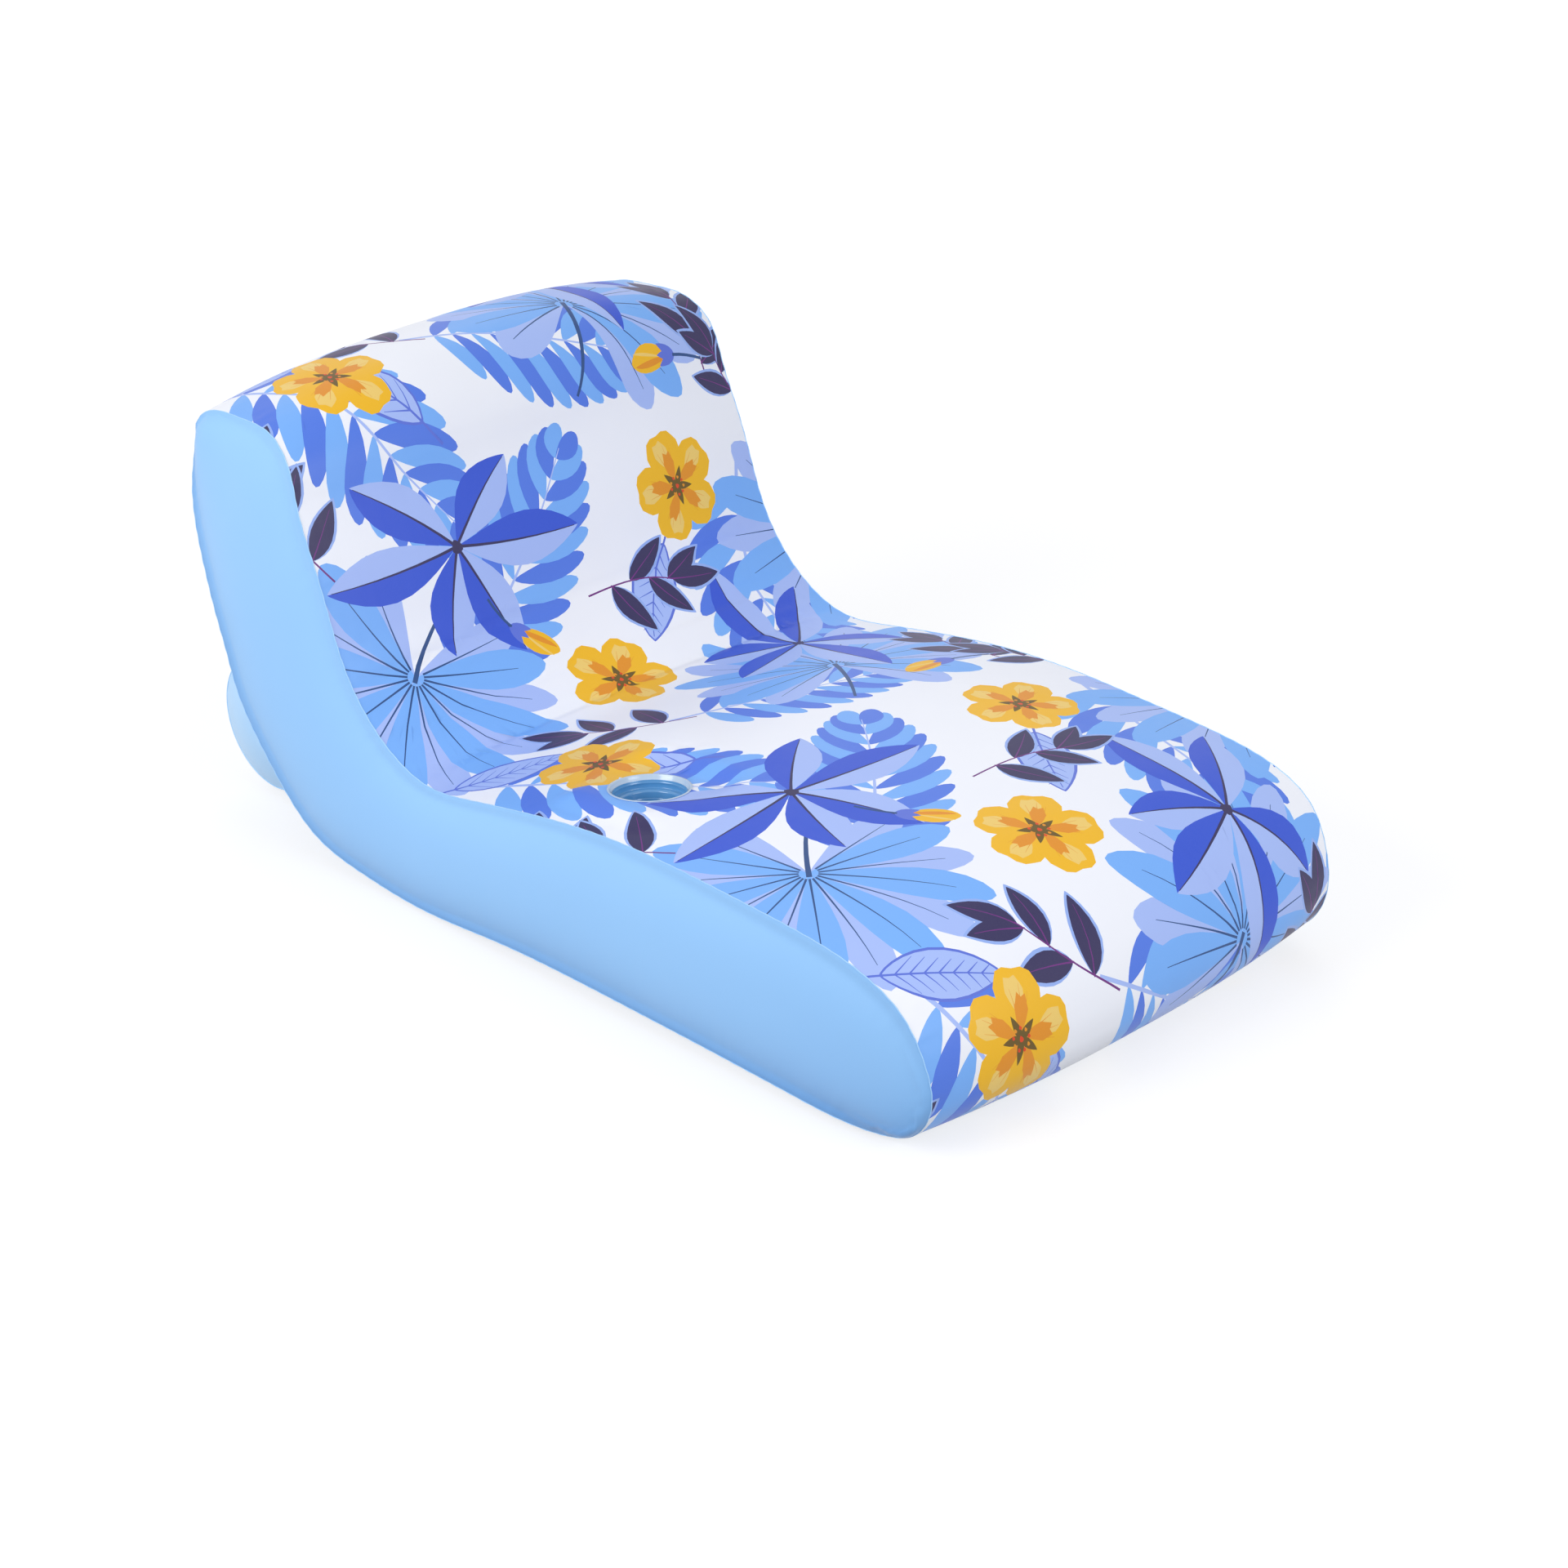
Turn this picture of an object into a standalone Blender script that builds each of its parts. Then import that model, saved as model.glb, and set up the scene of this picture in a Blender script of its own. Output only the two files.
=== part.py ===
"""Inflatable pool lounger: an air-filled vinyl seat with a backrest, a bolster behind it and a cup holder.

The side outline is a closed curve in the XZ plane, given by ribs that run from the printed top line to
the line of the back and underside. The top and bottom panels are crowned sheets along that curve, and
the side panels bulge out of it. Frame: +X towards the foot end, +Z up, -Y the side with the cup holder,
origin at the middle of the lounger on the ground. Metres.
"""
import math

import bmesh
import bpy
import numpy as np
from mathutils import Matrix, Vector
from mathutils.bvhtree import BVHTree

# Overall size
LENGTH = 1.63
WIDTH = 0.94
HEIGHT = 0.72

# Skin and clearances
SKIN = 0.0004
GAP = 0.0003
WEB_SEAT_GAP = 0.0007
CUT_OVERRUN = 0.004
MERGE_DISTANCE = 0.00001

# Outline of the side seam, and how far the bolster reaches behind it
BOLSTER_REACH = 0.032
SEAM_LIFT = 0.008
# Ribs from the head tip to the foot tip: x and z on the top line, x and z on the underside line
SEAM_RIB_SHARES = (
    (0.020, 0.948, 0.020, 0.948),
    (0.041, 0.981, 0.013, 0.884),
    (0.090, 0.997, 0.009, 0.788),
    (0.142, 0.991, 0.016, 0.695),
    (0.167, 0.948, 0.030, 0.610),
    (0.184, 0.850, 0.047, 0.515),
    (0.206, 0.735, 0.063, 0.427),
    (0.226, 0.621, 0.079, 0.327),
    (0.246, 0.513, 0.105, 0.236),
    (0.273, 0.428, 0.143, 0.137),
    (0.309, 0.361, 0.189, 0.054),
    (0.358, 0.320, 0.258, 0.015),
    (0.424, 0.335, 0.350, 0.000),
    (0.495, 0.367, 0.452, 0.014),
    (0.575, 0.395, 0.555, 0.020),
    (0.669, 0.408, 0.655, 0.018),
    (0.769, 0.403, 0.733, 0.0155),
    (0.856, 0.394, 0.797, 0.0122),
    (0.924, 0.369, 0.851, 0.0088),
    (0.970, 0.313, 0.893, 0.0052),
    (0.993, 0.224, 0.924, 0.0044),
    (0.9995, 0.130, 0.949, 0.0095),
    (0.972, 0.0275, 0.972, 0.0275),
)

# How far the side seams draw in towards the head and the foot: rib number and distance
HEAD_DRAW_IN = 0.026
FOOT_DRAW_IN = 0.017
DRAW_IN_STATIONS = ((0, HEAD_DRAW_IN), (6, 0.0), (18, 0.0), (22, FOOT_DRAW_IN))

# How far the panels stand out between the side seams, at stations along the outline
HEAD_CROWN = 0.040
HEAD_TIP_CROWN = 0.030
BACKREST_CROWN = 0.026
CREASE_CROWN = 0.012
SEAT_CROWN = 0.028
FOOT_CROWN = 0.034
FOOT_TIP_CROWN = 0.016
BASE_CROWN = 0.013
BOLSTER_SEAT_CROWN = 0.004
BACK_CROWN = 0.014
# Rib number and crown, on the top line and on the underside line
TOP_CROWN_STATIONS = ((0, HEAD_TIP_CROWN), (2, HEAD_CROWN), (6, BACKREST_CROWN), (10, CREASE_CROWN),
                      (14, SEAT_CROWN), (18, SEAT_CROWN), (21, FOOT_CROWN), (22, FOOT_TIP_CROWN))
UNDER_CROWN_STATIONS = ((20, BASE_CROWN), (12, BASE_CROWN), (9, BOLSTER_SEAT_CROWN),
                        (6, BOLSTER_SEAT_CROWN), (4, BACK_CROWN))
CROWN_POWER = 2.6
SIDE_BULGE = 0.0245
SIDE_BULGE_POWER = 2.4
SIDE_BULGE_REACH = 0.20

# Facets of the sheets
ROW_SPACING = 0.068
ROW_TURN = math.radians(15)
COLUMN_SHARES = (-1.0, -0.93, -0.82, -0.66, -0.44, -0.20, 0.0, 0.20, 0.44, 0.66, 0.82, 0.93, 1.0)
UNDER_COLUMN_SHARES = (-1.0, -0.90, -0.70, -0.36, 0.0, 0.36, 0.70, 0.90, 1.0)
SIDE_COLUMN_SHARES = (-1.0, -0.86, -0.58, 0.0, 0.58, 0.86, 1.0)
RIB_STEPS = 2
ROW_SAMPLES = 60

# Cup holder, sunk in the seat
CUP_RIB = 13.95
CUP_INSET = 0.165
CUP_FLANGE_RADIUS = 0.062
CUP_FLANGE_WIDTH = 0.008
CUP_FLANGE_THICKNESS = 0.0010
CUP_WELD_WIDTH = 0.0022
CUP_HOLE_RADIUS = CUP_FLANGE_RADIUS - CUP_WELD_WIDTH
CUP_LIP_RADIUS = CUP_FLANGE_RADIUS - CUP_FLANGE_WIDTH
# How far the flange slopes down to the lip of the wall
CUP_DISH = 0.007
# How far the cup holder leans in towards the middle of the seat, and sinks into it
CUP_LEAN = 0.157
CUP_SINK = 0.004
CUP_LEDGE_DEPTH = 0.018
CUP_LEDGE_RADIUS = 0.0435
CUP_FLOOR_RADIUS = 0.0375
CUP_DEPTH = 0.070
CUP_WALL = 0.0008
CUP_RIM_HEIGHT = 0.0015 - CUP_DISH
CUP_FLOOR_SEAT = 0.004
PAD_MARGIN = 0.006
PAD_BLEND = 0.05
PAD_COLUMN_CLEARANCE = 0.025

# Bolster behind the back
BOLSTER_RADIUS = 0.116
BOLSTER_INSET = 0.120
BOLSTER_HALF_LENGTH = WIDTH / 2 - BOLSTER_INSET
BOLSTER_FLAT = 0.082
BOLSTER_END_DOME = 0.026
BOLSTER_END_FLAT_RADIUS = 0.032
BOLSTER_NECK = 0.004
BOLSTER_NECK_LENGTH = 0.030
BOLSTER_SIDES = 30
BOLSTER_END_RINGS = 6
# Rib numbers between which the bolster's seat is looked for, and how many places are tried along a line
BOLSTER_SEAT_RIBS = (4, 12)
LINE_SAMPLES = 161
STRIP_WIDTH = 0.022
STRIP_THICKNESS = 0.0006
STRIP_SHORTER = 0.025
STRIP_SPREAD = 0.030

# Inner webs: rib number on the top line and on the underside line
WEB_INSET = 0.135
WEB_HALF_WIDTH = WIDTH / 2 - WEB_INSET
WEB_HOLE_RADIUS = 0.032
WEB_HOLE_COUNT = 4
# From a web's side edge to the middle of its outer hole
WEB_HOLE_MARGIN = 0.095
WEB_HOLE_SIDES = 16
WEB_STATIONS = {
    "web_back_upper": (5.0, 4.3),
    "web_back_lower": (7.4, 6.3),
    "web_crease": (10.6, 13.0),
    "web_seat": (14.95, 15.1),
    "web_foot": (16.9, 18.0),
}

# Valves
# How far up the back the main valve is from the bolster's seat, and from the side
VALVE_RISE = 0.223
VALVE_INSET = 0.27
VALVE_FLANGE_RADIUS = 0.023
VALVE_FLANGE_THICKNESS = 0.0012
VALVE_COLLAR_RADIUS = 0.0105
VALVE_COLLAR_HEIGHT = 0.0035
VALVE_BORE = 0.0083
VALVE_STEM_RADIUS = 0.0080
VALVE_STEM_BORE = 0.0048
VALVE_STEM_LENGTH = 0.026
VALVE_LIP_RADIUS = 0.0100
VALVE_LIP_THICKNESS = 0.0014
VALVE_TRAVEL = 0.010
VALVE_FLAP_THICKNESS = 0.0008
PLUG_RADIUS = 0.0095
PLUG_THICKNESS = 0.0018
PLUG_PEG_RADIUS = 0.0044
PLUG_PEG_TIP_RADIUS = 0.0030
PLUG_PEG_LENGTH = 0.0050
PLUG_HINGE_RADIUS = 0.0010
PLUG_HINGE_WIDTH = 0.0060
PLUG_HINGE_REACH = 0.0015
VALVE_FOOT_LENGTH = 0.0050
TURNED_STEPS = 32
VALVE_STEPS = 20

COLOURS = {
    "print_white": (0.87, 0.89, 0.95, 1.0),
    "side_blue": (0.33, 0.62, 0.98, 1.0),
    "bolster_blue": (0.43, 0.68, 0.94, 1.0),
    "clear_blue": (0.30, 0.60, 0.85, 1.0),
    "teal": (0.07, 0.30, 0.50, 1.0),
    "web_white": (0.80, 0.86, 0.92, 1.0),
}


def clear_scene():
    """Remove every object of the open file."""
    for item in list(bpy.data.objects):
        bpy.data.objects.remove(item, do_unlink=True)


def collection(name, shown=True):
    """Make a collection under the scene."""
    made = bpy.data.collections.new(name)
    bpy.context.scene.collection.children.link(made)
    made.hide_render = not shown
    return made


def material(name, roughness=0.42, alpha=1.0):
    """Make a Principled material of one of the named colours."""
    made = bpy.data.materials.new(name)
    made.use_nodes = True
    shader = made.node_tree.nodes["Principled BSDF"]
    shader.inputs["Base Color"].default_value = COLOURS[name]
    shader.inputs["Roughness"].default_value = roughness
    shader.inputs["Metallic"].default_value = 0.0
    shader.inputs["Alpha"].default_value = alpha
    return made


class Outline:
    """Closed smooth curve through the rib ends, in the XZ plane."""

    def __init__(self):
        """Place the ribs and solve the periodic cubic spline through them."""
        seam_height = HEIGHT - HEAD_CROWN - SEAM_LIFT
        seam_length = LENGTH - FOOT_CROWN - BOLSTER_REACH
        ribs = np.array(SEAM_RIB_SHARES)
        scale = np.array([seam_length, seam_height])
        start = np.array([BOLSTER_REACH - LENGTH / 2, SEAM_LIFT])
        top = ribs[:, :2] * scale + start
        under = ribs[:, 2:] * scale + start
        self.last_rib = len(ribs) - 1
        self.points = np.concatenate([top, under[-2:0:-1]])
        self.count = len(self.points)
        self.chords = np.linalg.norm(np.roll(self.points, -1, 0) - self.points, axis=1)
        self.slopes = self._slopes()

    def _slopes(self):
        """Return the spline's derivative at each point, by chord length."""
        system = np.zeros((self.count, self.count))
        right = np.zeros_like(self.points)
        for i in range(self.count):
            before, after = self.chords[i - 1], self.chords[i]
            following = (i + 1) % self.count
            system[i, i - 1] += after
            system[i, i] += 2 * (before + after)
            system[i, following] += before
            back_slope = (self.points[i] - self.points[i - 1]) / before
            fore_slope = (self.points[following] - self.points[i]) / after
            right[i] = 3 * (after * back_slope + before * fore_slope)
        return np.linalg.solve(system, right)

    def at(self, station):
        """Return the point and the outward normal at a station, counted in knots round the loop."""
        i = int(math.floor(station)) % self.count
        f = station - math.floor(station)
        j = (i + 1) % self.count
        chord = self.chords[i]
        a, b = self.points[i], self.points[j]
        u, v = self.slopes[i] * chord, self.slopes[j] * chord
        point = ((2 * f - 3) * f * f + 1) * a + (3 - 2 * f) * f * f * b
        point = point + (f - 1) ** 2 * f * u + (f - 1) * f * f * v
        tangent = 6 * f * (f - 1) * (a - b) + (3 * f * f - 4 * f + 1) * u + (3 * f - 2) * f * v
        tangent = tangent / np.linalg.norm(tangent)
        return point, np.array([-tangent[1], tangent[0]])

    def beyond(self, station, distance):
        """Return the station at a distance further along the outline."""
        stations = np.linspace(station, self.count, LINE_SAMPLES)
        places = np.array([self.at(place)[0] for place in stations])
        travel = np.cumsum(np.linalg.norm(np.diff(places, axis=0), axis=1))
        return float(np.interp(distance, np.concatenate([[0.0], travel]), stations))

    def stepped(self, station, distance):
        """Return the station at a short distance ahead along the chords, or behind where it is negative."""
        while True:
            i = math.floor(station) if distance > 0 else math.ceil(station) - 1
            chord = self.chords[i % self.count]
            room = (i + 1 - station if distance > 0 else station - i) * chord
            if abs(distance) <= room:
                return station + distance / chord
            station = i + 1 if distance > 0 else i
            distance -= math.copysign(room, distance)

    def top(self, rib):
        """Return the station of a rib's end on the top line."""
        return rib

    def under(self, rib):
        """Return the station of a rib's end on the underside line."""
        return (2 * self.last_rib - rib) % self.count


def smooth(t):
    """Return the smooth step of t, held between 0 and 1."""
    t = min(max(t, 0.0), 1.0)
    return t * t * (3 - 2 * t)


class Pad:
    """A flat place on a sheet, where a fitting is welded on."""

    def __init__(self, skin, station, side, along, across, lean=0.0, sink=0.0):
        """Find the pad's plane from the sheet round it, then lean it inwards and sink it."""
        self.station = station
        self.side = side
        self.along = along
        self.across = across
        centre = skin.crowned(station, side)
        step = GAP
        knot = step / skin.outline.chords[int(station) % skin.outline.count]
        ahead = skin.crowned(station + knot, side) - skin.crowned(station - knot, side)
        aside = skin.crowned(station, side + step) - skin.crowned(station, side - step)
        self.along_axis = ahead.normalized()
        self.normal = Matrix.Rotation(-lean, 3, self.along_axis) @ ahead.cross(aside).normalized()
        self.centre = centre - self.normal * sink
        self.across_axis = self.normal.cross(self.along_axis)

    def matrix(self):
        """Return the pad's frame, with Z out of the sheet and X along the outline."""
        turn = Matrix((self.along_axis, self.across_axis, self.normal)).transposed()
        return Matrix.Translation(self.centre) @ turn.to_4x4()

    def sides(self):
        """Return the distances across the sheet of the pad's edges and its middle."""
        return [self.side - self.across, self.side, self.side + self.across]

    def flatten(self, point):
        """Bring a point of the sheet into the pad's plane, fading out round the pad."""
        off = point - self.centre
        beyond_along = abs(off.dot(self.along_axis)) - self.along
        beyond_across = abs(off.dot(self.across_axis)) - self.across
        beyond = math.hypot(max(beyond_along, 0.0), max(beyond_across, 0.0))
        keep = smooth(beyond / PAD_BLEND)
        height = off.dot(self.normal)
        if abs(height) > PAD_BLEND:
            return point
        return point - self.normal * (height * (1 - keep))


class Skin:
    """The wrap of the lounger between its side seams: crowned, with flat pads and a flat stance."""

    def __init__(self, outline):
        """Set the crown stations along the outline."""
        self.outline = outline
        self.half_width = WIDTH / 2 - SIDE_BULGE - SKIN - GAP / 2
        stations = [(outline.top(rib), crown) for rib, crown in TOP_CROWN_STATIONS]
        stations += [(outline.under(rib), crown) for rib, crown in UNDER_CROWN_STATIONS]
        self.crowns = sorted(stations)
        self.pads = []

    def crown(self, station):
        """Return the height of the crown at a station."""
        station = station % self.outline.count
        stations = self.crowns + [(self.outline.count, self.crowns[0][1])]
        for (low, a), (high, b) in zip(stations, stations[1:]):
            if low <= station <= high:
                return a + (b - a) * smooth((station - low) / (high - low))
        return stations[0][1]

    def crowned(self, station, side):
        """Return a point of the crowned sheet, at a distance across from the middle."""
        point, normal = self.outline.at(station)
        share = min(abs(side) / self.half_width, 1.0)
        lift = self.crown(station) * (1 - share ** CROWN_POWER)
        place = point + normal * lift
        return Vector((place[0], side * self.drawn_share(station), place[1]))

    def drawn_share(self, station):
        """Return the share of the full width at a station, less near the head and the foot."""
        last = self.outline.last_rib
        rib = last - abs(station - last)
        for (low, a), (high, b) in zip(DRAW_IN_STATIONS, DRAW_IN_STATIONS[1:]):
            if rib <= high:
                draw_in = a + (b - a) * smooth((rib - low) / (high - low))
                break
        return 1 - draw_in / self.half_width

    def at(self, station, side):
        """Return a point of the finished sheet."""
        point = self.crowned(station, side)
        for pad in self.pads:
            point = pad.flatten(point)
        point.z = max(point.z, 0.0)
        return point

    def rows(self, start, end, required):
        """Return stations from start to end, close where the outline turns, with the required ones."""
        marks = sorted({start, end, *[r for r in required if start < r < end]})
        rows = [start]
        for low, high in zip(marks, marks[1:]):
            rows += self._between(low, high)
        return rows

    def _between(self, low, high):
        """Return evenly weighted stations after low, up to and with high."""
        samples = np.linspace(low, high, ROW_SAMPLES)
        weight = [0.0]
        for a, b in zip(samples, samples[1:]):
            (pa, na), (pb, nb) = self.outline.at(a), self.outline.at(b)
            turn = math.acos(min(1.0, float(na @ nb)))
            weight.append(weight[-1] + np.linalg.norm(pb - pa) / ROW_SPACING + turn / ROW_TURN)
        count = max(1, round(weight[-1]))
        return [float(np.interp(weight[-1] * i / count, weight, samples)) for i in range(1, count + 1)]

    def columns(self, shares, required):
        """Return distances across the sheet, from the shares, with the required ones in their place."""
        edge = self.half_width - GAP / 2
        own = [share * edge for share in shares]
        kept = []
        for side in own:
            nearest = min([abs(side - place) for place in required] + [self.half_width])
            if nearest > PAD_COLUMN_CLEARANCE or abs(side) > edge - GAP:
                kept.append(side)
        return sorted(kept + list(required))


def mesh_object(name, vertices, faces, surface, home):
    """Make a mesh object from computed vertices and faces."""
    data = bpy.data.meshes.new(name)
    data.from_pydata([tuple(v) for v in vertices], [], faces)
    data.materials.append(surface)
    made = bpy.data.objects.new(name, data)
    home.objects.link(made)
    return made


def loft(name, rows, surface, home, ring=False, outward=None):
    """Make a sheet through rows of points of equal count, turned to face outward.

    A row whose points all meet closes to a tip. ring joins each row's last point to its first.
    """
    width = len(rows[0])
    vertices = [point for row in rows for point in row]
    reach = width if ring else width - 1
    faces = []
    for i in range(len(rows) - 1):
        for j in range(reach):
            k = (j + 1) % width
            faces.append((i * width + j, (i + 1) * width + j, (i + 1) * width + k, i * width + k))
    made = mesh_object(name, vertices, faces, surface, home)
    shape = bmesh.new()
    shape.from_mesh(made.data)
    bmesh.ops.remove_doubles(shape, verts=shape.verts, dist=MERGE_DISTANCE)
    bmesh.ops.dissolve_degenerate(shape, edges=shape.edges, dist=MERGE_DISTANCE)
    largest = max(shape.faces, key=lambda face: face.calc_area())
    if largest.normal.dot(outward(largest.calc_center_median())) < 0:
        bmesh.ops.reverse_faces(shape, faces=shape.faces)
    shape.to_mesh(made.data)
    shape.free()
    return made


def solidify(made, thickness):
    """Give a sheet its thickness on the inside."""
    shell = made.modifiers.new("thickness", "SOLIDIFY")
    shell.thickness = thickness
    shell.offset = -1.0
    shell.use_even_offset = True
    shell.use_quality_normals = True
    return made


def smooth_shade(made, angle=40.0):
    """Shade a mesh smooth up to an angle."""
    made.data.shade_smooth()
    made.data.set_sharp_from_angle(angle=math.radians(angle))


def turned(name, profile, surface, home, matrix, steps=TURNED_STEPS, closed=True):
    """Turn a profile of (radius, height) points about its own Z and place it.

    A closed profile is a ring's section. An open one starts and ends on the axis, top to bottom.
    """
    data = bpy.data.meshes.new(name)
    count = len(profile)
    edges = [(i, i + 1) for i in range(count - 1)]
    if closed:
        edges.append((count - 1, 0))
    data.from_pydata([(radius, 0.0, height) for radius, height in profile], edges, [])
    data.materials.append(surface)
    made = bpy.data.objects.new(name, data)
    home.objects.link(made)
    screw = made.modifiers.new("turn", "SCREW")
    screw.axis = "Z"
    screw.steps = steps
    screw.render_steps = steps
    screw.use_merge_vertices = True
    screw.merge_threshold = MERGE_DISTANCE
    screw.use_smooth_shade = True
    made.matrix_world = matrix
    return made


def box(name, size, centre, surface, home, matrix):
    """Make a box of a size about a centre in a frame."""
    data = bpy.data.meshes.new(name)
    shape = bmesh.new()
    bmesh.ops.create_cube(shape, size=1.0)
    bmesh.ops.scale(shape, vec=Vector(size), verts=shape.verts)
    bmesh.ops.translate(shape, vec=Vector(centre), verts=shape.verts)
    shape.to_mesh(data)
    shape.free()
    data.materials.append(surface)
    made = bpy.data.objects.new(name, data)
    home.objects.link(made)
    made.matrix_world = matrix
    return made


def pivot(name, frame, home, carrier=None):
    """Make an empty on a joint's axis, carried by another object."""
    made = bpy.data.objects.new(name, None)
    made.empty_display_size = VALVE_LIP_RADIUS
    home.objects.link(made)
    made.matrix_world = frame
    if carrier:
        carry(carrier, made)
    return made


def carry(carrier, *pieces):
    """Parent pieces to what carries them, where they stand."""
    bpy.context.view_layer.update()
    for piece in pieces:
        piece.parent = carrier
        piece.matrix_parent_inverse = carrier.matrix_world.inverted()


def cutter(name, radius, low, high, home, matrix, steps=TURNED_STEPS):
    """Make a round cutter along a frame's Z, between two heights."""
    profile = [(0.0, high), (radius, high), (radius, low), (0.0, low)]
    made = turned(name, profile, bpy.data.materials["web_white"], home, matrix, steps, closed=False)
    made.hide_render = True
    made.display_type = "WIRE"
    return made


def cut(made, tool):
    """Cut a tool out of an object."""
    hole = made.modifiers.new("hole", "BOOLEAN")
    hole.operation = "DIFFERENCE"
    hole.solver = "EXACT"
    hole.object = tool


def fuse(made, tool):
    """Join a tool shape to an object as one body."""
    join = made.modifiers.new("join", "BOOLEAN")
    join.operation = "UNION"
    join.solver = "EXACT"
    join.object = tool
    tool.hide_render = True
    tool.display_type = "WIRE"


def wrap_panel(name, skin, start, end, shares, pads, surface, home):
    """Make one crowned sheet between two stations of the outline."""
    outline = skin.outline
    stations, sides = [], []
    for pad in pads:
        stations += [outline.stepped(pad.station, step) for step in (-pad.along, 0.0, pad.along)]
        sides += pad.sides()
    rows = skin.rows(start, end, stations)
    columns = skin.columns(shares, sides)
    points = [[skin.at(row, side) for side in columns] for row in rows]
    middle = Vector((0.0, 0.0, HEIGHT / 4))
    sheet = loft(name, points, surface, home, outward=lambda place: place - middle)
    solidify(sheet, SKIN)
    smooth_shade(sheet)
    return sheet


def side_panel(name, skin, sign, surface, home):
    """Make one bulged side panel, butted against the edges of the wrap."""
    outline = skin.outline
    steps = outline.last_rib * RIB_STEPS
    rows = []
    for i in range(steps + 1):
        rib = i / RIB_STEPS
        top, _ = outline.at(outline.top(rib))
        under, _ = outline.at(outline.under(rib))
        reach = min(float(np.linalg.norm(top - under)) / SIDE_BULGE_REACH, 1.0)
        bulge = SIDE_BULGE * (1 - (1 - reach) ** 3)
        edge = skin.half_width * skin.drawn_share(rib)
        row = []
        for share in SIDE_COLUMN_SHARES:
            place = under + (top - under) * (1 + share) / 2
            out = edge + GAP / 2 + SKIN + bulge * (1 - abs(share) ** SIDE_BULGE_POWER)
            row.append(Vector((place[0], sign * out, place[1])))
        rows.append(row)
    sheet = loft(name, rows, surface, home, outward=lambda place: Vector((0.0, sign, 0.0)))
    solidify(sheet, SKIN)
    smooth_shade(sheet)
    return sheet


def ray_gap(tree, origin, direction):
    """Return the distance from a point to a sheet along a direction."""
    hit = tree.ray_cast(origin, direction)
    if hit[0] is None:
        raise RuntimeError("a web line misses its panel")
    return hit[3]


def web(name, outline, stations, trees, sides, surface, home):
    """Make one inner web with air holes, seated on the inside of the top and bottom panels."""
    top, _ = outline.at(outline.top(stations[0]))
    under, _ = outline.at(outline.under(stations[1]))
    high = Vector((top[0], 0.0, top[1]))
    low = Vector((under[0], 0.0, under[1]))
    up = (high - low).normalized()
    centre = (high + low) / 2
    across = [side for side in sides if abs(side) < WEB_HALF_WIDTH - GAP]
    across = [-WEB_HALF_WIDTH] + across + [WEB_HALF_WIDTH]
    upper, lower = [], []
    for side in across:
        origin = centre + Vector((0.0, side, 0.0))
        upper.append((side, ray_gap(trees[0], origin, up) - WEB_SEAT_GAP))
        lower.append((side, -ray_gap(trees[1], origin, -up) + WEB_SEAT_GAP))
    curve = bpy.data.curves.new(name, "CURVE")
    curve.dimensions = "2D"
    curve.fill_mode = "BOTH"
    curve.extrude = SKIN / 2
    add_loop(curve, lower + upper[::-1])
    for middle in np.linspace(WEB_HOLE_MARGIN - WEB_HALF_WIDTH, WEB_HALF_WIDTH - WEB_HOLE_MARGIN,
                              WEB_HOLE_COUNT):
        hole = []
        for k in range(WEB_HOLE_SIDES):
            turn = 2 * math.pi * k / WEB_HOLE_SIDES
            hole.append((middle + WEB_HOLE_RADIUS * math.cos(turn), WEB_HOLE_RADIUS * math.sin(turn)))
        add_loop(curve, hole)
    curve.materials.append(surface)
    made = bpy.data.objects.new(name, curve)
    home.objects.link(made)
    aside = Vector((0.0, 1.0, 0.0))
    turn = Matrix((aside, up, aside.cross(up))).transposed()
    made.matrix_world = Matrix.Translation(centre) @ turn.to_4x4()
    return made


def add_loop(curve, points):
    """Add a closed straight-sided loop to a flat curve."""
    spline = curve.splines.new("POLY")
    spline.points.add(len(points) - 1)
    for knot, (x, y) in zip(spline.points, points):
        knot.co = (x, y, 0.0, 1.0)
    spline.use_cyclic_u = True


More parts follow.
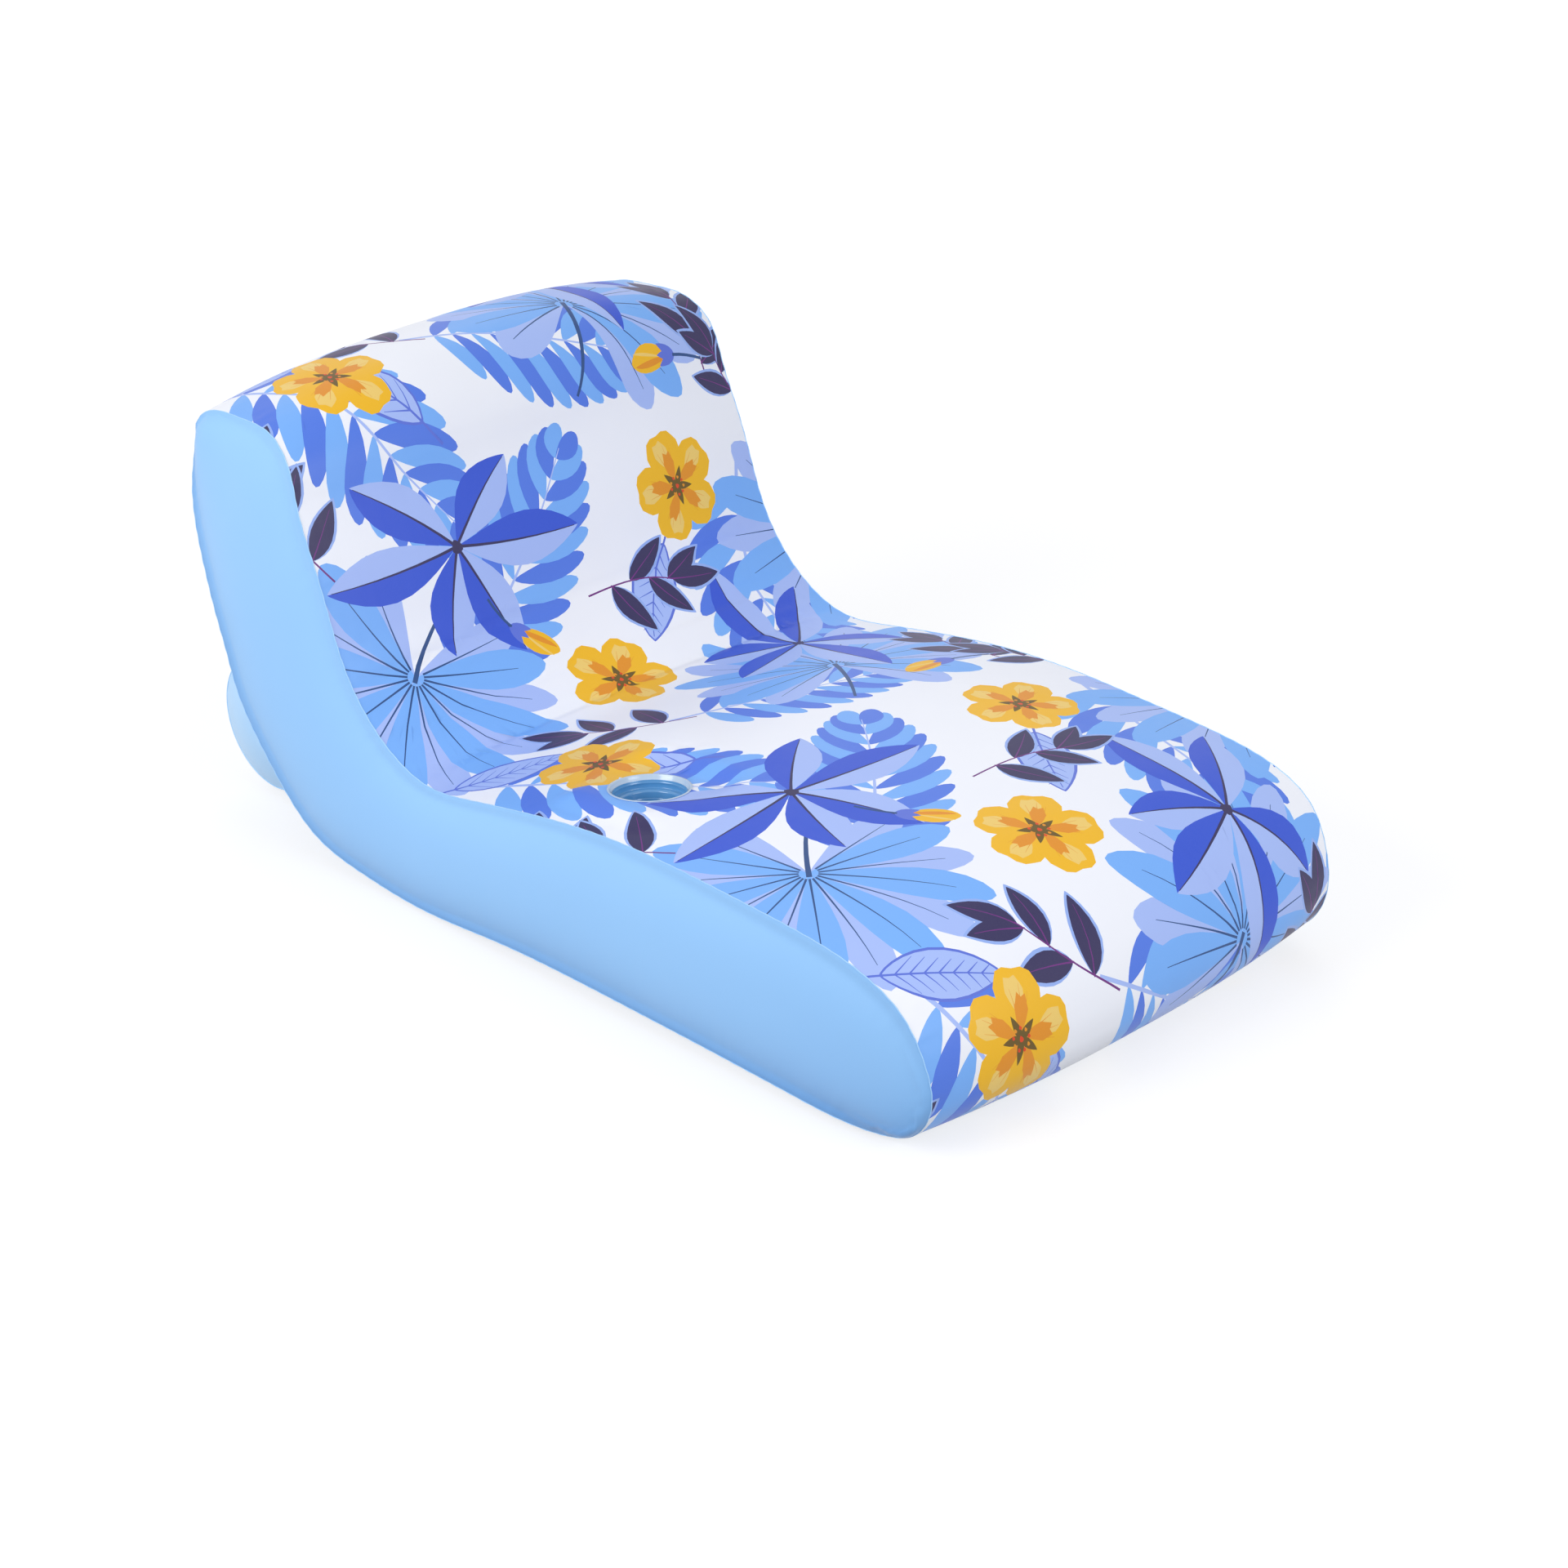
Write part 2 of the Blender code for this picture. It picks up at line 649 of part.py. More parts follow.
def cup_holder(pad, top_panel, surfaces, home, tools):
    """Make the flange, the stepped wall and the floor of the cup holder, and its hole in the seat."""
    frame = pad.matrix()
    inner = CUP_LIP_RADIUS + CUP_WALL + GAP
    hole = cutter("cup_hole", CUP_HOLE_RADIUS, -CUT_OVERRUN, CUT_OVERRUN, tools, frame)
    cut(top_panel, hole)
    top = GAP + CUP_FLANGE_THICKNESS
    ease = CUP_FLANGE_THICKNESS / 3
    flange = [(inner, top - CUP_DISH), (CUP_HOLE_RADIUS - CUP_FLANGE_THICKNESS, top),
              (CUP_FLANGE_RADIUS - ease, top), (CUP_FLANGE_RADIUS, top - ease), (CUP_FLANGE_RADIUS, GAP),
              (CUP_HOLE_RADIUS - GAP, GAP), (inner, GAP - CUP_DISH)]
    turned("cup_flange", flange, surfaces["clear_blue"], home, frame)
    wall = CUP_WALL
    seat = CUP_FLOOR_RADIUS - CUP_FLOOR_SEAT
    outside = [(CUP_LIP_RADIUS + wall, CUP_RIM_HEIGHT),
               (CUP_LIP_RADIUS + wall, -CUP_LEDGE_DEPTH - wall),
               (CUP_LEDGE_RADIUS + wall, -CUP_LEDGE_DEPTH - wall * 2),
               (CUP_FLOOR_RADIUS + wall, -CUP_DEPTH),
               (seat, -CUP_DEPTH)]
    inside = [(seat, -CUP_DEPTH + wall),
              (CUP_FLOOR_RADIUS, -CUP_DEPTH + wall),
              (CUP_LEDGE_RADIUS, -CUP_LEDGE_DEPTH - wall),
              (CUP_LIP_RADIUS - wall, -CUP_LEDGE_DEPTH),
              (CUP_LIP_RADIUS, -CUP_LEDGE_DEPTH + wall),
              (CUP_LIP_RADIUS, CUP_RIM_HEIGHT)]
    turned("cup_wall", outside + inside, surfaces["clear_blue"], home, frame)
    low = -CUP_DEPTH + wall + GAP
    radius = CUP_FLOOR_RADIUS - GAP
    floor = [(0.0, low + wall), (radius, low + wall), (radius, low), (0.0, low)]
    turned("cup_floor", floor, surfaces["teal"], home, frame, closed=False)


def bolster_section(radius, flat):
    """Return the bolster's section about its axis, round with a flat towards local +X."""
    points = []
    for i in range(BOLSTER_SIDES):
        turn = 2 * math.pi * (i + 0.5) / BOLSTER_SIDES
        reach = radius
        if math.cos(turn) > 0:
            reach = min(radius, flat / math.cos(turn))
        points.append((reach * math.cos(turn), reach * math.sin(turn)))
    return points


def bolster(pad, surfaces, home):
    """Make the bolster's tube, its two end discs and the strips that weld it to the back."""
    away = pad.normal
    along = pad.along_axis
    stand_off = BOLSTER_FLAT + 2 * GAP + STRIP_THICKNESS
    axis = Vector((pad.centre.x, 0.0, pad.centre.z)) + away * stand_off

    def ring(scale, side):
        section = bolster_section(BOLSTER_RADIUS * scale, BOLSTER_FLAT * scale)
        return [axis - away * x + along * z + Vector((0.0, side, 0.0)) for x, z in section]

    edge = BOLSTER_HALF_LENGTH - GAP / 2
    neck = 1 - BOLSTER_NECK / BOLSTER_RADIUS
    shoulder = edge - BOLSTER_NECK_LENGTH
    rows = [ring(neck, -edge), ring(1.0, -shoulder), ring(1.0, shoulder), ring(neck, edge)]
    tube = loft("bolster_tube", rows, surfaces["bolster_blue"], home, ring=True,
                outward=lambda place: Vector((place.x, 0.0, place.z)) - axis)
    solidify(tube, SKIN)
    smooth_shade(tube)
    ends = {}
    for name, sign in (("bolster_end_right", -1), ("bolster_end_left", 1)):
        flat_share = BOLSTER_END_FLAT_RADIUS / BOLSTER_RADIUS
        start = BOLSTER_HALF_LENGTH + GAP / 2 + SKIN
        rows = []
        for k in range(BOLSTER_END_RINGS):
            share = 1 - (1 - flat_share) * k / (BOLSTER_END_RINGS - 1)
            rise = (1 - share ** 2) / (1 - flat_share ** 2)
            rows.append(ring(neck * share, sign * (start + BOLSTER_END_DOME * rise)))
        centre = axis + Vector((0.0, sign * (start + BOLSTER_END_DOME), 0.0))
        rows.append([centre] * BOLSTER_SIDES)
        disc = loft(name, rows, surfaces["bolster_blue"], home, ring=True,
                    outward=lambda place, sign=sign: Vector((0.0, sign, 0.0)))
        solidify(disc, SKIN)
        smooth_shade(disc)
        ends[name] = disc
    frame = pad.matrix()
    upward = math.copysign(STRIP_SPREAD, along.z)
    lift = GAP + STRIP_THICKNESS / 2
    length = 2 * (BOLSTER_HALF_LENGTH - BOLSTER_NECK_LENGTH - STRIP_SHORTER)
    for name, sign in (("bolster_strip_upper", 1), ("bolster_strip_lower", -1)):
        size = (STRIP_WIDTH, length, STRIP_THICKNESS)
        box(name, size, (sign * upward, 0.0, lift), surfaces["clear_blue"], home, frame)
    middle = axis + Vector((0.0, BOLSTER_HALF_LENGTH + GAP / 2 + SKIN + BOLSTER_END_DOME, 0.0))
    out = Vector((0.0, 1.0, 0.0))
    turn = Matrix((along, out.cross(along), out)).transposed()
    return ends, Matrix.Translation(middle) @ turn.to_4x4()


def valve(prefix, frame, panel, surfaces, home, tools):
    """Make one valve on a flat place: base, sliding stem, one-way flap and hinged plug.

    The frame's Z points out of the chamber. The stem is stored pushed in, with the plug closed.
    """
    hole_radius = VALVE_COLLAR_RADIUS + GAP
    hole = cutter(prefix + "_hole", hole_radius, -CUT_OVERRUN, CUT_OVERRUN, tools, frame, VALVE_STEPS)
    cut(panel, hole)
    flange_top = GAP + VALVE_FLANGE_THICKNESS
    collar_top = flange_top + VALVE_COLLAR_HEIGHT
    ease = VALVE_FLANGE_THICKNESS / 3
    skirt = VALVE_COLLAR_HEIGHT + VALVE_TRAVEL / 2
    base = [(VALVE_BORE, collar_top), (VALVE_COLLAR_RADIUS, collar_top),
            (VALVE_COLLAR_RADIUS, flange_top), (VALVE_FLANGE_RADIUS - ease, flange_top),
            (VALVE_FLANGE_RADIUS, flange_top - ease), (VALVE_FLANGE_RADIUS, GAP), (VALVE_COLLAR_RADIUS, GAP),
            (VALVE_COLLAR_RADIUS, -skirt), (VALVE_BORE, -skirt)]
    turned(prefix + "_base", base, surfaces["clear_blue"], home, frame, VALVE_STEPS)
    rim = collar_top + GAP
    top = rim + VALVE_LIP_THICKNESS
    end = rim - VALVE_STEM_LENGTH
    stem = [(VALVE_STEM_BORE, top), (VALVE_LIP_RADIUS, top), (VALVE_LIP_RADIUS, rim),
            (VALVE_STEM_RADIUS, rim), (VALVE_STEM_RADIUS, end), (VALVE_STEM_BORE, end)]
    stem_object = turned(prefix + "_stem", stem, surfaces["clear_blue"], home, frame, VALVE_STEPS)
    hinge_height = top + PLUG_HINGE_RADIUS + GAP
    tab = PLUG_HINGE_REACH + PLUG_HINGE_RADIUS + GAP
    hinge_place = VALVE_LIP_RADIUS + tab
    foot_size = (VALVE_FOOT_LENGTH, PLUG_HINGE_WIDTH, VALVE_LIP_THICKNESS)
    foot_centre = VALVE_LIP_RADIUS + VALVE_FOOT_LENGTH / 2 - PLUG_HINGE_RADIUS
    foot = box(prefix + "_hinge_foot", foot_size, (foot_centre, 0.0, rim + VALVE_LIP_THICKNESS / 2),
               surfaces["clear_blue"], tools, frame)
    fuse(stem_object, foot)
    carry(stem_object, foot)
    plug_frame = frame @ Matrix.Translation((hinge_place, 0.0, hinge_height))
    plug_hinge = pivot(prefix + "_plug_hinge", plug_frame, home, stem_object)
    seat = top - hinge_height
    pieces = plug_pieces(prefix, plug_frame, hinge_place, seat, surfaces, home, tools)
    carry(plug_hinge, *pieces)
    low = end - GAP
    flap_frame = frame @ Matrix.Translation((VALVE_STEM_RADIUS, 0.0, low))
    flap_hinge = pivot(prefix + "_flap_hinge", flap_frame, home, stem_object)
    disc = [(0.0, 0.0), (VALVE_STEM_RADIUS, 0.0), (VALVE_STEM_RADIUS, -VALVE_FLAP_THICKNESS),
            (0.0, -VALVE_FLAP_THICKNESS)]
    middle = flap_frame @ Matrix.Translation((-VALVE_STEM_RADIUS, 0.0, 0.0))
    flap = turned(prefix + "_flap", disc, surfaces["web_white"], home, middle, VALVE_STEPS, closed=False)
    carry(flap_hinge, flap)


def plug_pieces(prefix, frame, reach, seat, surfaces, home, tools):
    """Make the plug, with its peg, and the strap that joins it to its hinge, in the hinge's frame."""
    low = seat + GAP
    tip = low - PLUG_PEG_LENGTH
    profile = [(0.0, low + PLUG_THICKNESS), (PLUG_RADIUS, low + PLUG_THICKNESS), (PLUG_RADIUS, low),
               (PLUG_PEG_RADIUS, low), (PLUG_PEG_TIP_RADIUS, tip), (0.0, tip)]
    middle = frame @ Matrix.Translation((-reach, 0.0, 0.0))
    plug = turned(prefix + "_plug", profile, surfaces["clear_blue"], home, middle, VALVE_STEPS, closed=False)
    length = reach - PLUG_RADIUS + PLUG_HINGE_RADIUS * 2
    strap_size = (length, PLUG_HINGE_WIDTH, PLUG_HINGE_RADIUS * 2 - GAP)
    strap_centre = (PLUG_HINGE_RADIUS / 2 - length / 2, 0.0, GAP / 2)
    strap = box(prefix + "_strap", strap_size, strap_centre, surfaces["clear_blue"], tools, frame)
    fuse(plug, strap)
    return plug, strap


def build():
    """Build the lounger."""
    clear_scene()
    home = collection("inflatable_pool_lounger")
    tools = collection("cutters", shown=False)
    surfaces = {name: material(name, alpha=0.6 if name == "clear_blue" else 1.0) for name in COLOURS}
    outline = Outline()
    skin = Skin(outline)
    cup_pad = Pad(skin, outline.top(CUP_RIB), CUP_INSET - WIDTH / 2, CUP_FLANGE_RADIUS + PAD_MARGIN,
                  CUP_FLANGE_RADIUS + PAD_MARGIN, CUP_LEAN, CUP_SINK)
    flat_half = math.sqrt(BOLSTER_RADIUS ** 2 - BOLSTER_FLAT ** 2)
    bolster_station = bolster_seat_station(outline)
    bolster_pad = Pad(skin, bolster_station, 0.0, flat_half, BOLSTER_HALF_LENGTH)
    valve_pad = Pad(skin, outline.beyond(bolster_station, VALVE_RISE), WIDTH / 2 - VALVE_INSET,
                    VALVE_FLANGE_RADIUS + PAD_MARGIN, VALVE_FLANGE_RADIUS + PAD_MARGIN)
    skin.pads = [cup_pad, bolster_pad, valve_pad]
    last = outline.last_rib
    trim_head = GAP / 2 / outline.chords[0]
    trim_foot = GAP / 2 / outline.chords[last]
    top_panel = wrap_panel("top_panel", skin, trim_head, last - trim_foot, COLUMN_SHARES, [cup_pad],
                           surfaces["print_white"], home)
    bottom_panel = wrap_panel("bottom_panel", skin, last + trim_foot, outline.count - trim_head,
                              UNDER_COLUMN_SHARES, [bolster_pad, valve_pad], surfaces["side_blue"], home)
    side_panel("side_panel_right", skin, -1, surfaces["side_blue"], home)
    side_panel("side_panel_left", skin, 1, surfaces["side_blue"], home)
    bpy.context.view_layer.update()
    graph = bpy.context.evaluated_depsgraph_get()
    trees = [BVHTree.FromObject(panel, graph) for panel in (top_panel, bottom_panel)]
    sides = skin.columns(COLUMN_SHARES, cup_pad.sides())
    for name, stations in WEB_STATIONS.items():
        web(name, outline, stations, trees, sides, surfaces["web_white"], home)
    cup_holder(cup_pad, top_panel, surfaces, home, tools)
    ends, end_frame = bolster(bolster_pad, surfaces, home)
    valve("main_valve", valve_pad.matrix(), bottom_panel, surfaces, home, tools)
    valve("bolster_valve", end_frame, ends["bolster_end_left"], surfaces, home, tools)


def bolster_seat_station(outline):
    """Return the station on the back where the bolster reaches the overall length behind."""
    best, station = None, None
    stand_off = BOLSTER_FLAT + BOLSTER_SEAT_CROWN + 2 * GAP + STRIP_THICKNESS
    for rib in np.linspace(*BOLSTER_SEAT_RIBS, LINE_SAMPLES):
        place, normal = outline.at(outline.under(rib))
        centre = place + normal * stand_off
        miss = abs(centre[0] - BOLSTER_RADIUS + LENGTH / 2)
        if best is None or miss < best:
            best, station = miss, outline.under(rib)
    return station


build()
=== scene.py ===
"""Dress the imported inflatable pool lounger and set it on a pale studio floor.

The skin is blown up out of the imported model's own side outline: a printed top sheet, a plain underside
and two plain sides, with their welded seams. An air bolster sits behind the back, a cup holder is sunk
in the seat, and two air valves carry the moving pieces. Metres, +X to the foot end, +Z up.
"""

import logging
import math
from dataclasses import dataclass, field
from enum import Enum

import bmesh
import bpy
import numpy as np
from mathutils import Matrix, Vector
from mathutils.geometry import delaunay_2d_cdt


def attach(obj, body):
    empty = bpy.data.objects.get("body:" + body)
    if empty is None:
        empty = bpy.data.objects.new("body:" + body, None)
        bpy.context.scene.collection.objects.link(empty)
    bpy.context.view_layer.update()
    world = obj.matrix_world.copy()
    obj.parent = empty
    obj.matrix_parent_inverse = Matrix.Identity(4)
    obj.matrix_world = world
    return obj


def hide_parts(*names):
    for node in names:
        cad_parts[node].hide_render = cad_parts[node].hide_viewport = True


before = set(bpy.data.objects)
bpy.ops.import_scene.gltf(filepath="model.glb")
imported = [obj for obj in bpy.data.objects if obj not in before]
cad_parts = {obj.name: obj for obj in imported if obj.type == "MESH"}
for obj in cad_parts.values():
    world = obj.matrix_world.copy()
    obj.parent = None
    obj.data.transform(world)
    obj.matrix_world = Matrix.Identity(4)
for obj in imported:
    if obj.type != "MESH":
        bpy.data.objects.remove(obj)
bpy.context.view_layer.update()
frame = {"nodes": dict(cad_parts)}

log = logging.getLogger("lounger")
Array = np.ndarray
Shape = tuple[Array, "Ink"]

# Ribs of the side outline from the head tip to the foot tip, as shares of its length and height
RIB_SHARES = (
    (0.020, 0.948, 0.020, 0.948), (0.041, 0.981, 0.013, 0.884), (0.090, 0.997, 0.009, 0.788),
    (0.142, 0.991, 0.016, 0.695), (0.167, 0.948, 0.030, 0.610), (0.184, 0.850, 0.047, 0.515),
    (0.206, 0.735, 0.063, 0.427), (0.226, 0.621, 0.079, 0.327), (0.246, 0.513, 0.105, 0.236),
    (0.273, 0.428, 0.143, 0.137), (0.309, 0.361, 0.189, 0.054), (0.358, 0.320, 0.258, 0.015),
    (0.424, 0.335, 0.350, 0.000), (0.495, 0.367, 0.452, 0.014), (0.575, 0.395, 0.555, 0.020),
    (0.669, 0.408, 0.655, 0.018), (0.769, 0.403, 0.733, 0.0155), (0.856, 0.394, 0.797, 0.0122),
    (0.924, 0.369, 0.851, 0.0088), (0.970, 0.313, 0.893, 0.0052), (0.993, 0.224, 0.924, 0.0044),
    (0.9995, 0.130, 0.949, 0.0095), (0.972, 0.0275, 0.972, 0.0275))


@dataclass(frozen=True)
class SkinSizes:
    """Sizes of the blown-up skin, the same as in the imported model."""

    length: float = 1.63
    width: float = 0.94
    height: float = 0.72
    film: float = 0.0004
    gap: float = 0.0003
    seam_lift: float = 0.008
    bolster_reach: float = 0.032
    side_bulge: float = 0.0245
    bulge_power: float = 2.4
    bulge_reach: float = 0.20
    crown_power: float = 2.6
    pad_blend: float = 0.05
    draw_in: tuple = ((0, 0.026), (6, 0.0), (18, 0.0), (22, 0.017))
    top_crowns: tuple = ((0, 0.030), (2, 0.040), (6, 0.026), (10, 0.012), (14, 0.028), (18, 0.028),
                         (21, 0.034), (22, 0.016))
    under_crowns: tuple = ((20, 0.013), (12, 0.013), (9, 0.004), (6, 0.004), (4, 0.014))
    foot_rib: int = 21

    @property
    def half_width(self) -> float:
        """Distance from the middle to the side seam, before it draws in."""
        return self.width / 2 - self.side_bulge - self.film - self.gap / 2


class Ink(Enum):
    """Inks of the print, as 8-bit screen colours."""

    GROUND = (243, 245, 252)
    SKY = (122, 178, 248)
    MID = (84, 124, 226)
    ROYAL = (54, 88, 208)
    PERIWINKLE = (168, 190, 246)
    OUTLINE = (94, 116, 214)
    HALO = (150, 178, 240)
    NAVY = (50, 44, 88)
    PLUM = (112, 44, 126)
    VEIN = (44, 78, 132)
    YELLOW = (242, 186, 32)
    PALE = (240, 204, 112)
    ORANGE = (228, 146, 34)
    OLIVE = (104, 82, 26)
    RED = (222, 70, 28)

    def linear(self) -> tuple[float, float, float, float]:
        """Return the ink as linear light."""
        return (*linear(self.value), 1.0)


class Half(Enum):
    """The part of a leaf that is drawn."""

    WHOLE = 0
    HIGH = 1
    LOW = -1


class Face(Enum):
    """The faces of the main chamber that swell."""

    WRAP = "wrap"
    RIGHT = "right"
    LEFT = "left"


def linear(screen: tuple[int, int, int]) -> tuple[float, float, float]:
    """Return an 8-bit screen colour as linear light.

    Args:
        screen: Red, green and blue from 0 to 255.

    Returns:
        The three channels as linear values from 0 to 1.
    """
    shares = np.array(screen) / 255
    light = np.where(shares <= 0.04045, shares / 12.92, ((shares + 0.055) / 1.055) ** 2.4)
    return tuple(float(value) for value in light)


def eased(x: Array | float, marks: tuple) -> Array:
    """Read a table of (position, value) with a smooth step between its marks.

    Args:
        x: Positions to read at.
        marks: The table, in rising order of position.

    Returns:
        The values at the positions.
    """
    places, values = np.array(marks, dtype=float).T
    i = np.clip(np.searchsorted(places, x, side="right") - 1, 0, len(places) - 2)
    t = np.clip((x - places[i]) / (places[i + 1] - places[i]), 0.0, 1.0)
    return values[i] + (values[i + 1] - values[i]) * t * t * (3 - 2 * t)


def unit(vectors: Array) -> Array:
    """Return vectors at length one."""
    return vectors / np.maximum(np.linalg.norm(vectors, axis=-1, keepdims=True), 1e-12)


def placed(axes: Array, place: Array) -> Matrix:
    """Return the matrix of a frame from its three axes and its place."""
    turn = Matrix([list(row) for row in axes]).transposed().to_4x4()
    return Matrix.Translation(Vector(place)) @ turn


@dataclass
class Outline:
    """Closed side outline in the XZ plane: one smooth curve through the ends of the ribs."""

    sizes: SkinSizes

    def __post_init__(self) -> None:
        """Place the ribs and solve the closed cubic through them."""
        sizes, ribs = self.sizes, np.array(RIB_SHARES)
        head_crown = max(crown for _, crown in sizes.top_crowns)
        foot_crown = dict(sizes.top_crowns)[sizes.foot_rib]
        scale = np.array([sizes.length - foot_crown - sizes.bolster_reach,
                          sizes.height - head_crown - sizes.seam_lift])
        start = np.array([sizes.bolster_reach - sizes.length / 2, sizes.seam_lift])
        self.last_rib = len(ribs) - 1
        self.points = np.concatenate([ribs[:, :2] * scale + start, (ribs[:, 2:] * scale + start)[-2:0:-1]])
        self.count = len(self.points)
        self.chords = np.linalg.norm(np.roll(self.points, -1, 0) - self.points, axis=1)
        before, after = np.roll(self.chords, 1)[:, None], self.chords[:, None]
        own = np.eye(self.count)
        system = 2 * own * (before + after) + np.roll(own, -1, 1) * after + np.roll(own, 1, 1) * before
        steps = (np.roll(self.points, -1, 0) - self.points) / after
        self.slopes = np.linalg.solve(system, 3 * (after * np.roll(steps, 1, 0) + before * steps))
        fine = np.linspace(0, self.count, self.count * 40 + 1)
        travel = np.linalg.norm(np.diff(self.at(fine)[0], axis=0), axis=1)
        self.fine, self.travel = fine, np.concatenate([[0.0], np.cumsum(travel)])

    def at(self, station: Array) -> tuple[Array, Array]:
        """Return points and outward normals on the outline.

        Args:
            station: Stations, counted in knots round the loop.

        Returns:
            The points and the normals, each as X and Z.
        """
        low = np.floor(station).astype(int)
        f = np.asarray(station - low)[..., None]
        i, j = low % self.count, (low + 1) % self.count
        chord = self.chords[i][..., None]
        a, b, u, v = self.points[i], self.points[j], self.slopes[i] * chord, self.slopes[j] * chord
        point = ((2 * f - 3) * f * f + 1) * a + (3 - 2 * f) * f * f * b
        point = point + (f - 1) ** 2 * f * u + (f - 1) * f * f * v
        tangent = unit(6 * f * (f - 1) * (a - b) + (3 * f * f - 4 * f + 1) * u + (3 * f - 2) * f * v)
        return point, np.stack([-tangent[..., 1], tangent[..., 0]], axis=-1)

    def length_at(self, station: Array) -> Array:
        """Return the distance round the outline at stations."""
        return np.interp(station, self.fine, self.travel)

    def station_at(self, length: Array) -> Array:
        """Return the stations at distances round the outline."""
        return np.interp(length, self.travel, self.fine)

    def rib_places(self, spacing: float) -> Array:
        """Return rib numbers from head to foot.

        Args:
            spacing: The furthest that two may be apart on either line.

        Returns:
            The rib numbers, with fractions.
        """
        places = [0.0]
        for rib in range(self.last_rib):
            chord = max(self.chords[rib], self.chords[self.count - 1 - rib])
            places += list(rib + np.arange(1, round(chord / spacing) + 2) / (round(chord / spacing) + 1))
        return np.array(places)


@dataclass
class Pad:
    """Flat place on the skin that a fitting is welded to."""

    centre: Array
    axes: Array
    along: float
    across: float
    near: float = 0.05

    @property
    def matrix(self) -> Matrix:
        """Frame of the pad, with X along the outline and Z out of the skin."""
        return placed(self.axes, self.centre)

    def beyond(self, points: Array) -> Array:
        """Measure how far points are past the pad's edges, in its plane.

        Args:
            points: The points.

        Returns:
            The distances, or 1 where a point isn't near the pad's plane.
        """
        off = (points - self.centre) @ self.axes.T
        past = np.maximum(np.abs(off[..., :2]) - (self.along, self.across), 0.0)
        return np.where(np.abs(off[..., 2]) > self.near, 1.0, np.hypot(past[..., 0], past[..., 1]))


